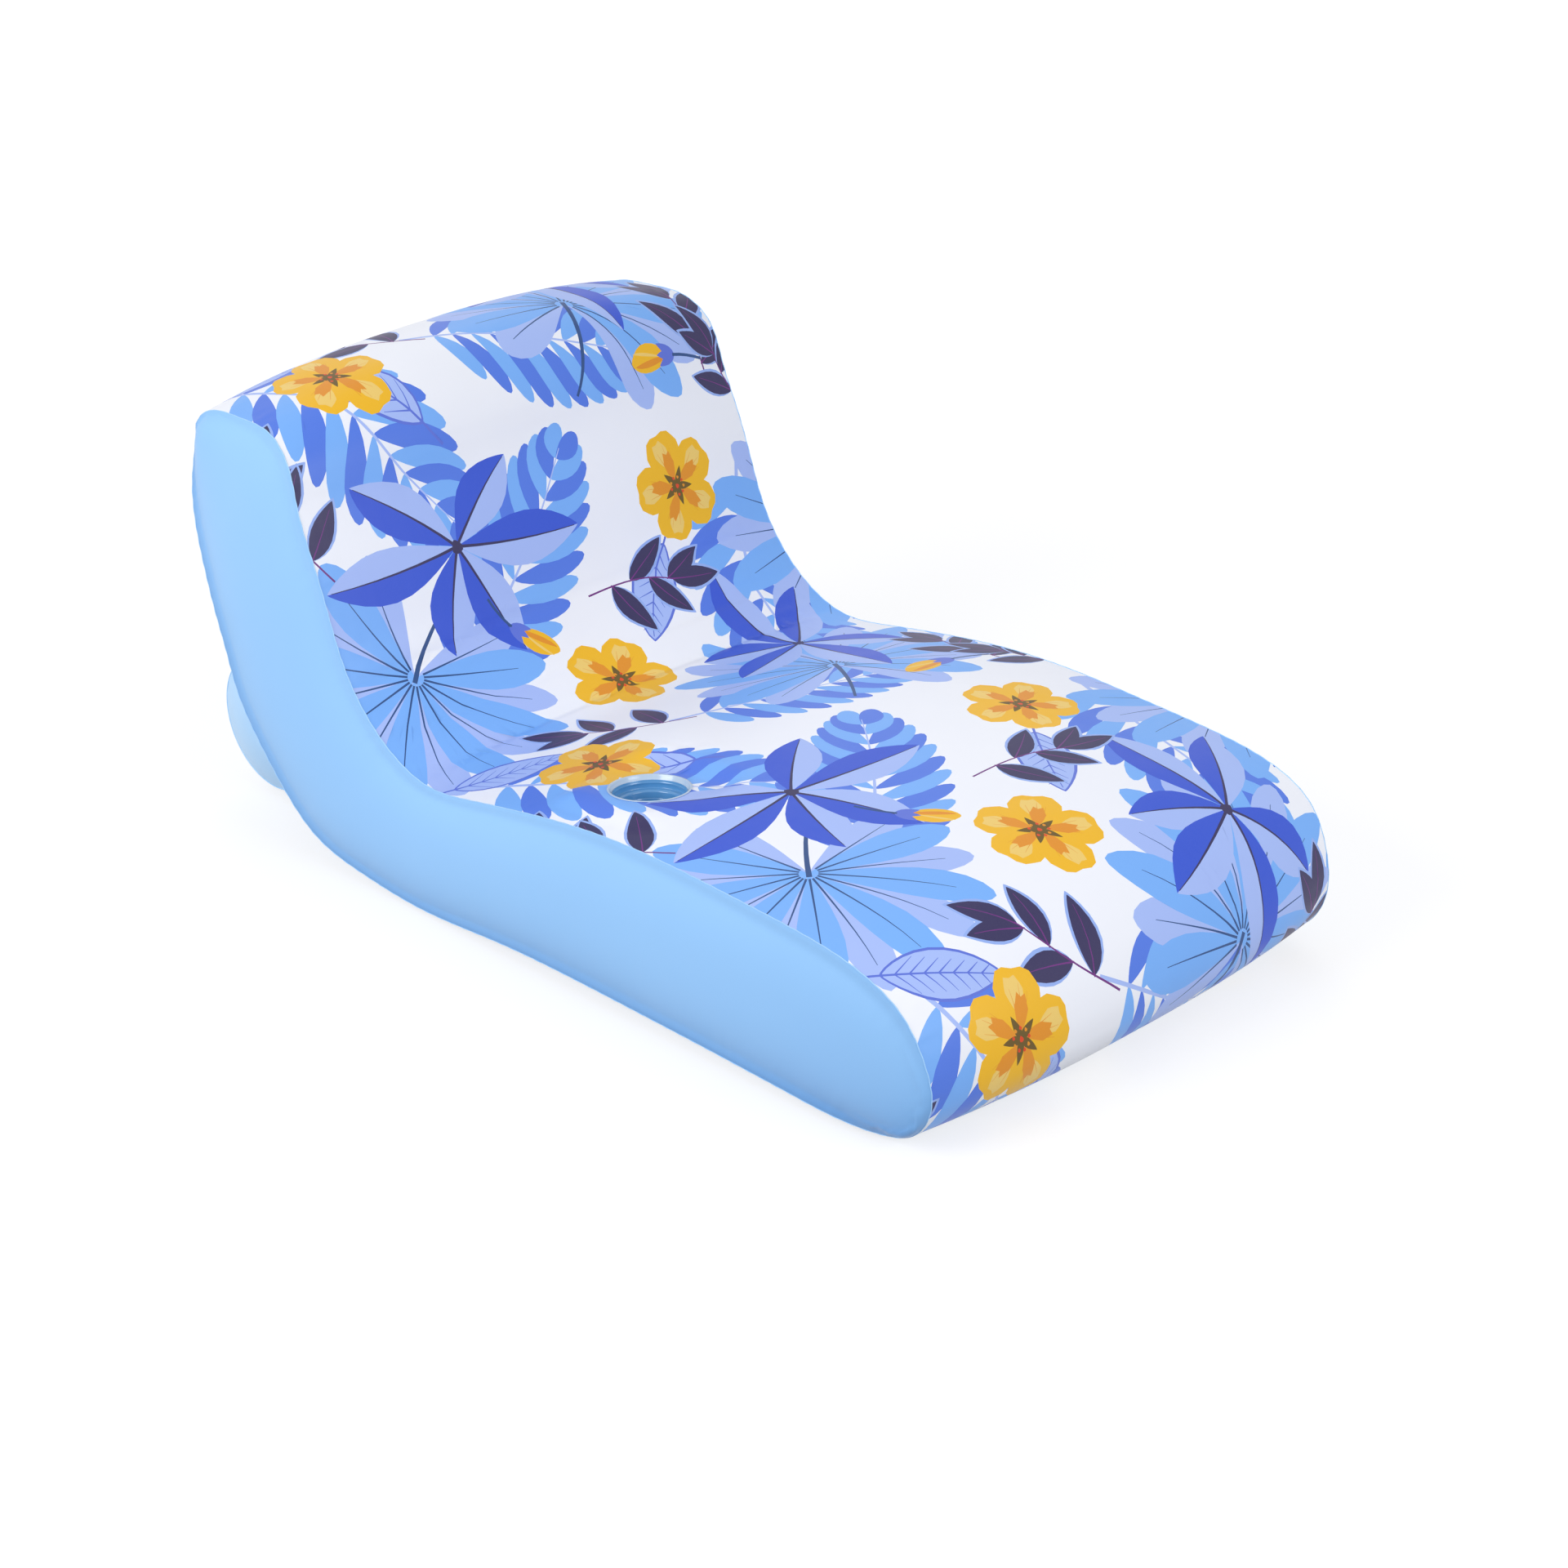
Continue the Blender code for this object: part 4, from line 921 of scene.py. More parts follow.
    def _lay_out(self) -> None:
        """Place the motifs of one tile, from the back to the front: u, v, turn and size."""
        for place in ((0.03, -0.40, 22, 0.46), (0.50, 0.40, -20, 0.48), (0.66, -0.26, 128, 0.43),
                      (0.99, -0.08, 62, 0.36)):
            self.fern(place)
        for place in ((0.16, 0.20, 150, 0.45), (0.62, -0.34, -40, 0.46)):
            self.fan(place)
        for place in ((0.45, -0.20, 15, 0.38), (0.86, 0.28, -75, 0.37)):
            self.star(place)
        for place in ((0.26, -0.20, 215, 0.19), (0.56, 0.20, -40, 0.19), (0.84, -0.43, 60, 0.18)):
            self.veined(place)
        for place in ((0.36, 0.40, 165, 0.24), (0.60, 0.02, 70, 0.24), (0.14, -0.08, -150, 0.24),
                      (0.44, -0.42, 190, 0.22)):
            self.sprig(place)
        for place in ((0.14, -0.28, 10, 0.17), (0.48, 0.26, 40, 0.165), (0.76, -0.02, -15, 0.17)):
            self.blossom(place)
        for place in ((0.28, 0.33, -100, 0.095), (0.60, -0.14, 35, 0.09)):
            self.bud(place)

    def spread(self, length: float, half: float) -> list[Shape]:
        """Return the shapes of all the tiles that reach a sheet.

        Args:
            length: Length of the sheet.
            half: Half its width.

        Returns:
            The shapes, in the order in which they are printed.
        """
        found: list[Shape] = []
        for points, ink in self.shapes:
            for row in range(-1, math.ceil(length / self.tile) + 1):
                for column in (-1, 0, 1):
                    moved = points + (row * self.tile, column * 2 * half * 1.02)
                    low, high = moved.min(0), moved.max(0)
                    if high[0] > 0 and low[0] < length and high[1] > -half and low[1] < half:
                        found.append((moved, ink))
        return found


@dataclass
class TopSheet:
    """Printed sheet from behind the head, over the seat, to under the foot."""

    chamber: Chamber
    spacing: float = 0.0105
    edge_step: float = 0.007
    end_step: float = 0.01
    edge_rows: tuple[float, float] = (0.003, 0.006)
    hole_points: int = 72
    clear_cell: float = 0.0035
    hole_margin: float = 0.004

    def __post_init__(self) -> None:
        """Measure the sheet in its flat pattern."""
        outline = self.chamber.outline
        self.length = float(outline.length_at(outline.last_rib))
        self.half = self.chamber.sizes.half_width

    def _edges(self) -> Array:
        """Draw the sheet's outline in its flat pattern.

        Returns:
            The outline, anticlockwise from the near corner at the head.
        """
        along = np.linspace(0, self.length, round(self.length / self.edge_step))
        across = np.linspace(-self.half, self.half, round(2 * self.half / self.end_step))
        near = np.stack([along, np.full_like(along, -self.half)], axis=1)
        foot = np.stack([np.full_like(across, self.length), across], axis=1)
        far, head = (near * (1, -1))[::-1], (foot - (self.length, 0))[::-1]
        return np.vstack([near[:-1], foot[:-1], far[:-1], head[:-1]])

    def _hole(self, radius: float) -> Array:
        """Draw the cup holder's hole in the flat pattern, so that it comes out round on the seat.

        Args:
            radius: Radius of the hole on the seat.

        Returns:
            The hole's outline.
        """
        chamber = self.chamber
        pad = chamber.cup_pad
        along = float(chamber.outline.length_at(chamber.cup_rib))
        middle = (along, chamber.cup_inset - chamber.sizes.width / 2)
        turn = np.linspace(0, 2 * np.pi, self.hole_points + 1)[:-1]
        wanted = np.stack([np.cos(turn), np.sin(turn)], axis=1) * radius
        flat = wanted + middle
        for _ in range(8):
            places = chamber.wrap(chamber.outline.station_at(flat[:, 0]), flat[:, 1])
            flat = flat + wanted - (places - pad.centre) @ pad.axes[:2].T
        return flat

    def _grid(self, outlines: list[Array], hole: Array) -> Array:
        """Spread loose points that keep the triangles small, clear of the outlines and the hole.

        Args:
            outlines: Outlines of the print's shapes.
            hole: Outline of the hole.

        Returns:
            The points in the flat pattern.
        """
        u = np.arange(self.spacing, self.length, self.spacing)
        v = np.linspace(-self.half, self.half, round(2 * self.half / self.spacing))[1:-1]
        close = self.half - np.array(self.edge_rows)
        v = np.sort(np.concatenate([v, close, -close]))
        grid = np.stack(np.meshgrid(u, v, indexing="ij"), axis=-1).reshape(-1, 2)
        cell = self.clear_cell
        taken = {(int(a), int(b)) for a, b in np.floor(np.vstack(outlines + [hole]) / cell)}
        cells = np.floor(grid / cell).astype(int)
        free = [not any((a + i, b + j) in taken for i in (-1, 0, 1) for j in (-1, 0, 1)) for a, b in cells]
        middle = hole.mean(0)
        reach = np.linalg.norm(hole[0] - middle) + self.hole_margin
        clear = np.linalg.norm(grid - middle, axis=1) > reach
        return grid[np.array(free) & clear]

    def film(self) -> Film:
        """Cut the sheet, with the print's shapes in its triangles.

        Returns:
            The sheet, in place on the chamber.
        """
        shapes = Print().spread(self.length, self.half)
        edges, hole = self._edges(), self._hole(CupHolder.hole)
        points = [edges, hole] + [shape for shape, _ in shapes]
        starts = np.cumsum([0] + [len(part) for part in points])
        rings = [list(range(a, b)) for a, b in zip(starts, starts[1:])]
        loose = self._grid([shape for shape, _ in shapes], hole)
        flat = np.vstack(points + [loose])
        result = delaunay_2d_cdt([Vector(p) for p in flat.tolist()], [], rings, 0, 1e-7, True)
        places = np.array([tuple(p) for p in result[0]])
        faces, inks = [], []
        for face, origins in zip(result[2], result[5]):
            if 0 in origins and 1 not in origins:
                faces.append(face)
                inks.append(shapes[max(origins) - 2][1] if max(origins) > 1 else Ink.GROUND)
        used, faces = renumbered(np.array(faces))
        places = places[used]
        corner = places[faces]
        area = np.cross(corner[:, 1] - corner[:, 0], corner[:, 2] - corner[:, 0])
        keep = np.abs(area) > 1e-12
        faces = np.where(area[:, None] < 0, faces[:, ::-1], faces)[keep]
        tints = np.array([ink.linear() for ink in inks])[keep]
        station, side = self.chamber.outline.station_at(places[:, 0]), places[:, 1]
        return Film(self.chamber.wrap(station, side), faces, self._normals(station, side), tints)

    def _normals(self, station: Array, side: Array) -> Array:
        """Find the skin's outward normals at places of the sheet.

        Args:
            station: Stations round the outline.
            side: Distances across.

        Returns:
            The normals.
        """
        wrap, last = self.chamber.wrap, float(self.chamber.outline.last_rib)
        ahead = wrap(np.minimum(station + 0.02, last), side) - wrap(np.maximum(station - 0.02, 0), side)
        half = self.half
        aside = wrap(station, np.minimum(side + 0.002, half)) - wrap(station, np.maximum(side - 0.002, -half))
        return unit(np.cross(ahead, aside))


def dress(piece: bpy.types.Object, material: bpy.types.Material, slot: str, body: str, *nodes: str) -> None:
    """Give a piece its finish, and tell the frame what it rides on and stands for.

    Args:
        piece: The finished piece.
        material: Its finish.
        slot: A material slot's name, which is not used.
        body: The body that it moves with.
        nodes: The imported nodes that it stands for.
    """
    piece.data.materials.clear()
    piece.data.materials.append(material)
    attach(piece, body)
    if nodes:
        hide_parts(*nodes)
    log.info("%s: %d faces, on %s", piece.name, len(piece.data.polygons), body)


@dataclass
class Nodes:
    """A node tree with short calls to fill it."""

    tree: bpy.types.NodeTree

    def add(self, kind: str, settings: dict | None = None, **inputs: object) -> bpy.types.Node:
        """Add a node, with its settings, and its inputs as values or as links.

        Args:
            kind: The node's type.
            settings: Attributes to set on the node.
            inputs: Values or output sockets by input name, with _ for a space.

        Returns:
            The node.
        """
        node = self.tree.nodes.new(kind)
        for key, value in (settings or {}).items():
            setattr(node, key, value)
        for key, value in inputs.items():
            self.fill(node.inputs[key.replace("_", " ")], value)
        return node

    def fill(self, socket: bpy.types.NodeSocket, value: object) -> None:
        """Set an input, or link it to an output.

        Args:
            socket: The input.
            value: Its value, or the output.
        """
        if isinstance(value, bpy.types.NodeSocket):
            self.tree.links.new(value, socket)
        else:
            socket.default_value = value


class Surface(Nodes):
    """One material."""

    def __init__(self, name: str) -> None:
        """Start a material with a Principled shader.

        Args:
            name: Name of the material.
        """
        self.material = bpy.data.materials.new(name)
        self.material.use_nodes = True
        super().__init__(self.material.node_tree)
        self.shader = self.tree.nodes["Principled BSDF"]
        self.coordinates = self.add("ShaderNodeTexCoord").outputs["Object"]

    def noise(self, scale: float, detail: float = 2.0, turn: tuple = (0.0, 0.0, 0.0)) -> bpy.types.NodeSocket:
        """Add a noise on the object's own coordinates.

        Args:
            scale: Its scale.
            detail: Its detail.
            turn: How its coordinates are turned, in radians.

        Returns:
            The socket with its value.
        """
        placed = self.add("ShaderNodeMapping", Vector=self.coordinates, Rotation=turn)
        return self.add("ShaderNodeTexNoise", Vector=placed.outputs["Vector"], Scale=scale,
                        Detail=detail).outputs["Fac"]

    def span(self, value: bpy.types.NodeSocket, low: float, high: float) -> bpy.types.NodeSocket:
        """Return a value from 0 to 1 spread over another range."""
        return self.add("ShaderNodeMapRange", Value=value, To_Min=low, To_Max=high).outputs["Result"]

    def blend(self, share: object, a: object, b: object, mode: str = "MIX") -> bpy.types.NodeSocket:
        """Mix two colours.

        Args:
            share: How much of the second.
            a: The first.
            b: The second.
            mode: How they are mixed.

        Returns:
            The socket with the mixed colour.
        """
        node = self.add("ShaderNodeMix", {"data_type": "RGBA", "blend_type": mode})
        for name, value in (("Factor_Float", share), ("A_Color", a), ("B_Color", b)):
            self.fill(next(s for s in node.inputs if s.identifier == name), value)
        return next(s for s in node.outputs if s.identifier == "Result_Color")


@dataclass(frozen=True)
class Vinyl:
    """Satin vinyl film: a tint that varies a little, a fine embossed grain and slack waves, with painted
    shade towards a rim colour where one is given.
    """

    name: str
    screen: tuple[int, int, int]
    deep: tuple[int, int, int]
    roughness: float = 0.42
    grain: float = 0.10
    coat: float = 0.10
    alpha: float = 1.0
    coat_roughness: float = 0.22
    gloss: float = 0.5
    printed: bool = False
    # Colour of the painted shade that the edge attribute mixes in; None for no painted shade.
    rim: tuple[int, int, int] | None = None
    cloud_scale: float = 3.2
    speck_scale: float = 420.0
    satin_scale: float = 26.0
    grain_scale: float = 1300.0
    grain_depth: float = 0.0003
    slack_scale: float = 9.0
    slack_depth: float = 0.004

    def build(self) -> bpy.types.Material:
        """Build the finish.

        Returns:
            The material.
        """
        surface = Surface(self.name)
        shader = surface.shader
        cloud = surface.noise(self.cloud_scale, 3.0)
        light, deep = (*linear(self.screen), 1.0), (*linear(self.deep), 1.0)
        if self.printed:
            ink = surface.add("ShaderNodeAttribute", {"attribute_name": "ink"}).outputs["Color"]
            fade = surface.blend(surface.span(cloud, 0.0, 0.14), ink, deep, "MULTIPLY")
            speck = surface.noise(self.speck_scale, 1.0)
            tint = surface.blend(surface.span(speck, 0.0, 0.012), fade, light)
        else:
            tint = surface.blend(surface.span(cloud, 0.0, 0.30), light, deep)
        # Painted shade: the tint is darkened towards the rim colour by the piece's edge attribute.
        if self.rim:
            edge = surface.add("ShaderNodeAttribute", {"attribute_name": "edge"}).outputs["Fac"]
            tint = surface.blend(edge, tint, (*linear(self.rim), 1.0))
        surface.fill(shader.inputs["Base Color"], tint)
        satin = surface.span(surface.noise(self.satin_scale), self.roughness - 0.05, self.roughness + 0.06)
        surface.fill(shader.inputs["Roughness"], satin)
        grain = surface.add("ShaderNodeBump", Height=surface.noise(self.grain_scale, 1.0),
                            Strength=self.grain, Distance=self.grain_depth)
        waves = surface.noise(self.slack_scale, 1.0, (0.4, 0.2, 0.9))
        slack = surface.add("ShaderNodeBump", Height=waves, Strength=0.25, Distance=self.slack_depth,
                            Normal=grain.outputs["Normal"])
        surface.fill(shader.inputs["Normal"], slack.outputs["Normal"])
        for name, value in (("Specular IOR Level", self.gloss), ("Coat Weight", self.coat),
                            ("Coat Roughness", self.coat_roughness), ("Alpha", self.alpha)):
            shader.inputs[name].default_value = value
        return surface.material


class Finishes:
    """All the finishes of the lounger."""

    def __init__(self) -> None:
        """Build each finish once."""
        self.top = Vinyl("printed_top_vinyl", (250, 250, 255), (196, 206, 238), coat=0.04, gloss=0.26,
                         printed=True).build()
        # The side's rim colour is painted shade, mixed in near its seams and towards its ends.
        self.side = Vinyl("light_blue_side_vinyl", (152, 202, 250), (136, 189, 243),
                          rim=(106, 162, 222)).build()
        self.under = Vinyl("light_blue_under_vinyl", (152, 203, 252), (126, 182, 240)).build()
        self.bolster = Vinyl("pale_blue_bolster_vinyl", (178, 217, 252), (150, 198, 240), coat=0.2).build()
        self.seam = Vinyl("seam_weld_vinyl", (166, 211, 251), (144, 196, 245), roughness=0.38).build()
        self.clear = Vinyl("clear_cup_vinyl", (196, 216, 236), (170, 200, 230), 0.16, 0.03, 0.6,
                           0.86).build()
        self.cup = Vinyl("blue_cup_wall_vinyl", (90, 152, 204), (64, 128, 184), 0.18, 0.03, 0.6).build()
        self.teal = Vinyl("teal_cup_floor_vinyl", (46, 130, 168), (38, 114, 152), 0.25, 0.05, 0.5).build()
        self.valve = Vinyl("clear_valve_plastic", (170, 206, 240), (140, 186, 232), 0.18, 0.02, 0.5,
                           0.82).build()
        self.web = Vinyl("inner_web_vinyl", (232, 240, 250), (210, 224, 242), 0.45, 0.10).build()


def rounded(profile: list[tuple[float, float]], radius: float, steps: int = 4) -> Array:
    """Return a closed section with its corners rounded.

    Args:
        profile: Corners of the section.
        radius: Radius of each corner, less where its sides are short.
        steps: Points on each corner.

    Returns:
        The points of the rounded section.
    """
    corners = np.array(profile, dtype=float)
    points = []
    for before, at, after in zip(np.roll(corners, 1, 0), corners, np.roll(corners, -1, 0)):
        back, fore = before - at, after - at
        ease = min(radius, np.linalg.norm(back) * 0.45, np.linalg.norm(fore) * 0.45)
        start, end = at + unit(back) * ease, at + unit(fore) * ease
        for t in np.linspace(0, 1, steps):
            points.append((1 - t) ** 2 * start + 2 * t * (1 - t) * at + t * t * end)
    return np.array(points)


@dataclass
class Fitting:
    """A piece put together in its own frame from turned rings and ribbons."""

    name: str
    matrix: Matrix
    points: list[Array] = field(default_factory=list)
    faces: list[list[int]] = field(default_factory=list)
    crease: float = 38.0

    def _add(self, grid: Array, closed_rows: bool) -> None:
        """Add a grid of points as faces, closed round its columns.

        Args:
            grid: The points.
            closed_rows: Whether it is closed round its rows as well.
        """
        start = sum(len(part) for part in self.points)
        ids = numbered(grid, start)
        ids = np.concatenate([ids, ids[:, :1]], axis=1)
        if closed_rows:
            ids = np.concatenate([ids, ids[:1]])
        self.points.append(grid.reshape(-1, 3))
        self.faces += quads(ids).tolist()

    def ring(self, section: Array, steps: int = 72) -> None:
        """Turn a closed section of (radius, height) about the frame's Z.

        Args:
            section: The section, anticlockwise.
            steps: Steps round the axis.
        """
        turn = np.linspace(0, 2 * np.pi, steps, endpoint=False)[:, None]
        radius = section[None, :, 0]
        height = np.broadcast_to(section[None, :, 1], (steps, len(section)))
        grid = np.stack([radius * np.cos(turn), radius * np.sin(turn), height], axis=-1)
        self._add(grid, True)

    def ribbon(self, path: Array, half_width: float, thickness: float) -> None:
        """Add a flat strap with closed ends.

        Args:
            path: Its middle line in the frame's XZ plane.
            half_width: Half its width.
            thickness: Its thickness.
        """
        ahead = unit(np.gradient(path, axis=0))
        up = np.stack([-ahead[:, 1], ahead[:, 0]], axis=1) * thickness / 2
        rows = []
        for side, lift in ((-1, -1), (1, -1), (1, 1), (-1, 1)):
            place = path + up * lift
            rows.append(np.stack([place[:, 0], np.full(len(path), side * half_width), place[:, 1]], axis=1))
        grid = np.stack(rows, axis=1)
        start = sum(len(part) for part in self.points)
        self._add(grid, False)
        last = start + (len(path) - 1) * 4
        self.faces += [[start, start + 3, start + 2, start + 1], [last, last + 1, last + 2, last + 3]]

    def finish(self) -> bpy.types.Object:
        """Make the piece an object, smooth, with its faces outwards.

        Returns:
            The finished object, at the origin.
        """
        data = bpy.data.meshes.new(self.name)
        data.from_pydata(np.vstack(self.points).tolist(), [], self.faces)
        data.transform(self.matrix)
        made = link_object(self.name, data)
        tidy_mesh(made, math.radians(self.crease))
        return made


def tidy_mesh(piece: bpy.types.Object, angle: float, merge: float = 0.000004, thin: float = 0.000002) -> None:
    """Merge a piece's doubles, turn its faces outwards and shade it smooth.

    Args:
        piece: The piece.
        angle: The sharpest edge that is shaded smooth, in radians.
        merge: Points closer than this become one.
        thin: Edges shorter than this go.
    """
    shape = bmesh.new()
    shape.from_mesh(piece.data)
    bmesh.ops.remove_doubles(shape, verts=shape.verts, dist=merge)
    bmesh.ops.dissolve_degenerate(shape, edges=shape.edges, dist=thin)
    stray = [edge for edge in shape.edges if not edge.link_faces]
    bmesh.ops.delete(shape, geom=stray, context="EDGES")
    bmesh.ops.recalc_face_normals(shape, faces=shape.faces)
    shape.to_mesh(piece.data)
    shape.free()
    piece.data.shade_smooth()
    piece.data.set_sharp_from_angle(angle=angle)


class Tree(Nodes):
    """A Geometry Nodes tree that is built, run once and turned into a plain mesh."""

    def __init__(self, name: str, inputs: dict[str, float | int]) -> None:
        """Start a tree with named number inputs.

        Args:
            name: Name of the tree.
            inputs: Its inputs and their values.
        """
        super().__init__(bpy.data.node_groups.new(name, "GeometryNodeTree"))
        self.values = inputs
        face = self.tree.interface
        face.new_socket(name="Geometry", in_out="INPUT", socket_type="NodeSocketGeometry")
        for key, value in inputs.items():
            kind = "NodeSocketInt" if isinstance(value, int) else "NodeSocketFloat"
            face.new_socket(name=key, in_out="INPUT", socket_type=kind)
        face.new_socket(name="Geometry", in_out="OUTPUT", socket_type="NodeSocketGeometry")
        self.start = self.add("NodeGroupInput")
        self.end = self.add("NodeGroupOutput")

    def run(self, name: str, source: bpy.types.Mesh, last: bpy.types.NodeSocket,
            material: bpy.types.Material) -> bpy.types.Object:
        """End the tree, run it on a mesh and return the result as a plain object.

        Args:
            name: Name of the piece.
            source: The mesh that the tree reads.
            last: The geometry that the tree ends in.
            material: The finish that it sets.

        Returns:
            The piece.
        """
        real = self.add("GeometryNodeRealizeInstances", Geometry=last)
        dressed = self.add("GeometryNodeSetMaterial", Geometry=real.outputs["Geometry"], Material=material)
        self.fill(self.end.inputs["Geometry"], dressed.outputs["Geometry"])
        carrier = link_object(name + "_path", source)
        modifier = carrier.modifiers.new("shape", "NODES")
        modifier.node_group = self.tree
        for item in self.tree.interface.items_tree:
            if item.in_out == "INPUT" and item.name in self.values:
                modifier[item.identifier] = self.values[item.name]
        graph = bpy.context.evaluated_depsgraph_get()
        data = bpy.data.meshes.new_from_object(carrier.evaluated_get(graph))
        data.name = name
        carrier.modifiers.remove(modifier)
        bpy.data.objects.remove(carrier, do_unlink=True)
        return link_object(name, data)


def seam_weld(name: str, path: Array, material: bpy.types.Material, wide: float, tall: float,
              loop: bool = True) -> bpy.types.Object:
    """Run a welded bead along a seam.

    Args:
        name: Name of the piece.
        path: Points of the seam, in order round the loop.
        material: Its finish.
        wide: Half its width.
        tall: Half its height.
        loop: Whether the seam comes back to its start.

    Returns:
        The bead.
    """
    data = bpy.data.meshes.new(name + "_line")
    count = len(path)
    links = [(i, (i + 1) % count) for i in range(count if loop else count - 1)]
    data.from_pydata(path.tolist(), links, [])
    tree = Tree("seam_weld_tree", {"Half Width": wide, "Half Height": tall, "Sides": 8})
    curve = tree.add("GeometryNodeMeshToCurve", Mesh=tree.start.outputs["Geometry"])
    circle = tree.add("GeometryNodeCurvePrimitiveCircle", Resolution=tree.start.outputs["Sides"], Radius=1.0)
    size = tree.add("ShaderNodeCombineXYZ", X=tree.start.outputs["Half Width"],
                    Y=tree.start.outputs["Half Height"], Z=1.0)
    squashed = tree.add("GeometryNodeTransform", Geometry=circle.outputs["Curve"],
                        Scale=size.outputs["Vector"])
    tube = tree.add("GeometryNodeCurveToMesh", Curve=curve.outputs["Curve"],
                    Profile_Curve=squashed.outputs["Geometry"], Fill_Caps=True)
    smooth = tree.add("GeometryNodeSetShadeSmooth", Geometry=tube.outputs["Mesh"])
    return tree.run(name, data, smooth.outputs["Geometry"], material)


def ring_marks(name: str, matrix: Matrix, material: bpy.types.Material, count: int, radius: float,
               height: float, long: float, wide: float, tall: float) -> bpy.types.Object:
    """Set small raised marks round a circle, as a welding tool leaves them.

    Args:
        name: Name of the piece.
        matrix: Frame of the circle.
        material: Its finish.
        count: Number of marks.
        radius: Radius of the circle.
        height: Height of the marks' middle above the frame.
        long: Length of a mark, outwards.
        wide: Width of a mark.
        tall: Height of a mark.

    Returns:
        The marks as one piece.
    """
    data = bpy.data.meshes.new(name + "_seed")
    data.from_pydata([(0.0, 0.0, 0.0)], [], [])
    tree = Tree("ring_marks_tree", {"Count": count, "Radius": radius, "Height": height, "Long": long,
                                    "Wide": wide, "Tall": tall})
    start = tree.start.outputs
    circle = tree.add("GeometryNodeMeshCircle", Vertices=start["Count"], Radius=start["Radius"])
    lift = tree.add("ShaderNodeCombineXYZ", X=0.0, Y=0.0, Z=start["Height"])
    raised = tree.add("GeometryNodeTransform", Geometry=circle.outputs["Mesh"],
                      Translation=lift.outputs["Vector"])
    ball = tree.add("GeometryNodeMeshUVSphere", Segments=8, Rings=5, Radius=0.5)
    size = tree.add("ShaderNodeCombineXYZ", X=start["Long"], Y=start["Wide"], Z=start["Tall"])
    mark = tree.add("GeometryNodeTransform", Geometry=ball.outputs["Mesh"], Scale=size.outputs["Vector"])
    place = tree.add("GeometryNodeInputPosition")
    flat = tree.add("ShaderNodeVectorMath", {"operation": "MULTIPLY"})
    tree.fill(flat.inputs[0], place.outputs["Position"])
    tree.fill(flat.inputs[1], (1.0, 1.0, 0.0))
    turn = tree.add("FunctionNodeAlignRotationToVector", {"axis": "X"}, Vector=flat.outputs["Vector"])
    spread = tree.add("GeometryNodeInstanceOnPoints", Points=raised.outputs["Geometry"],
                      Instance=mark.outputs["Geometry"], Rotation=turn.outputs["Rotation"])
    made = tree.run(name, data, spread.outputs["Instances"], material)
    made.data.transform(matrix)
    made.data.shade_smooth()
    return made


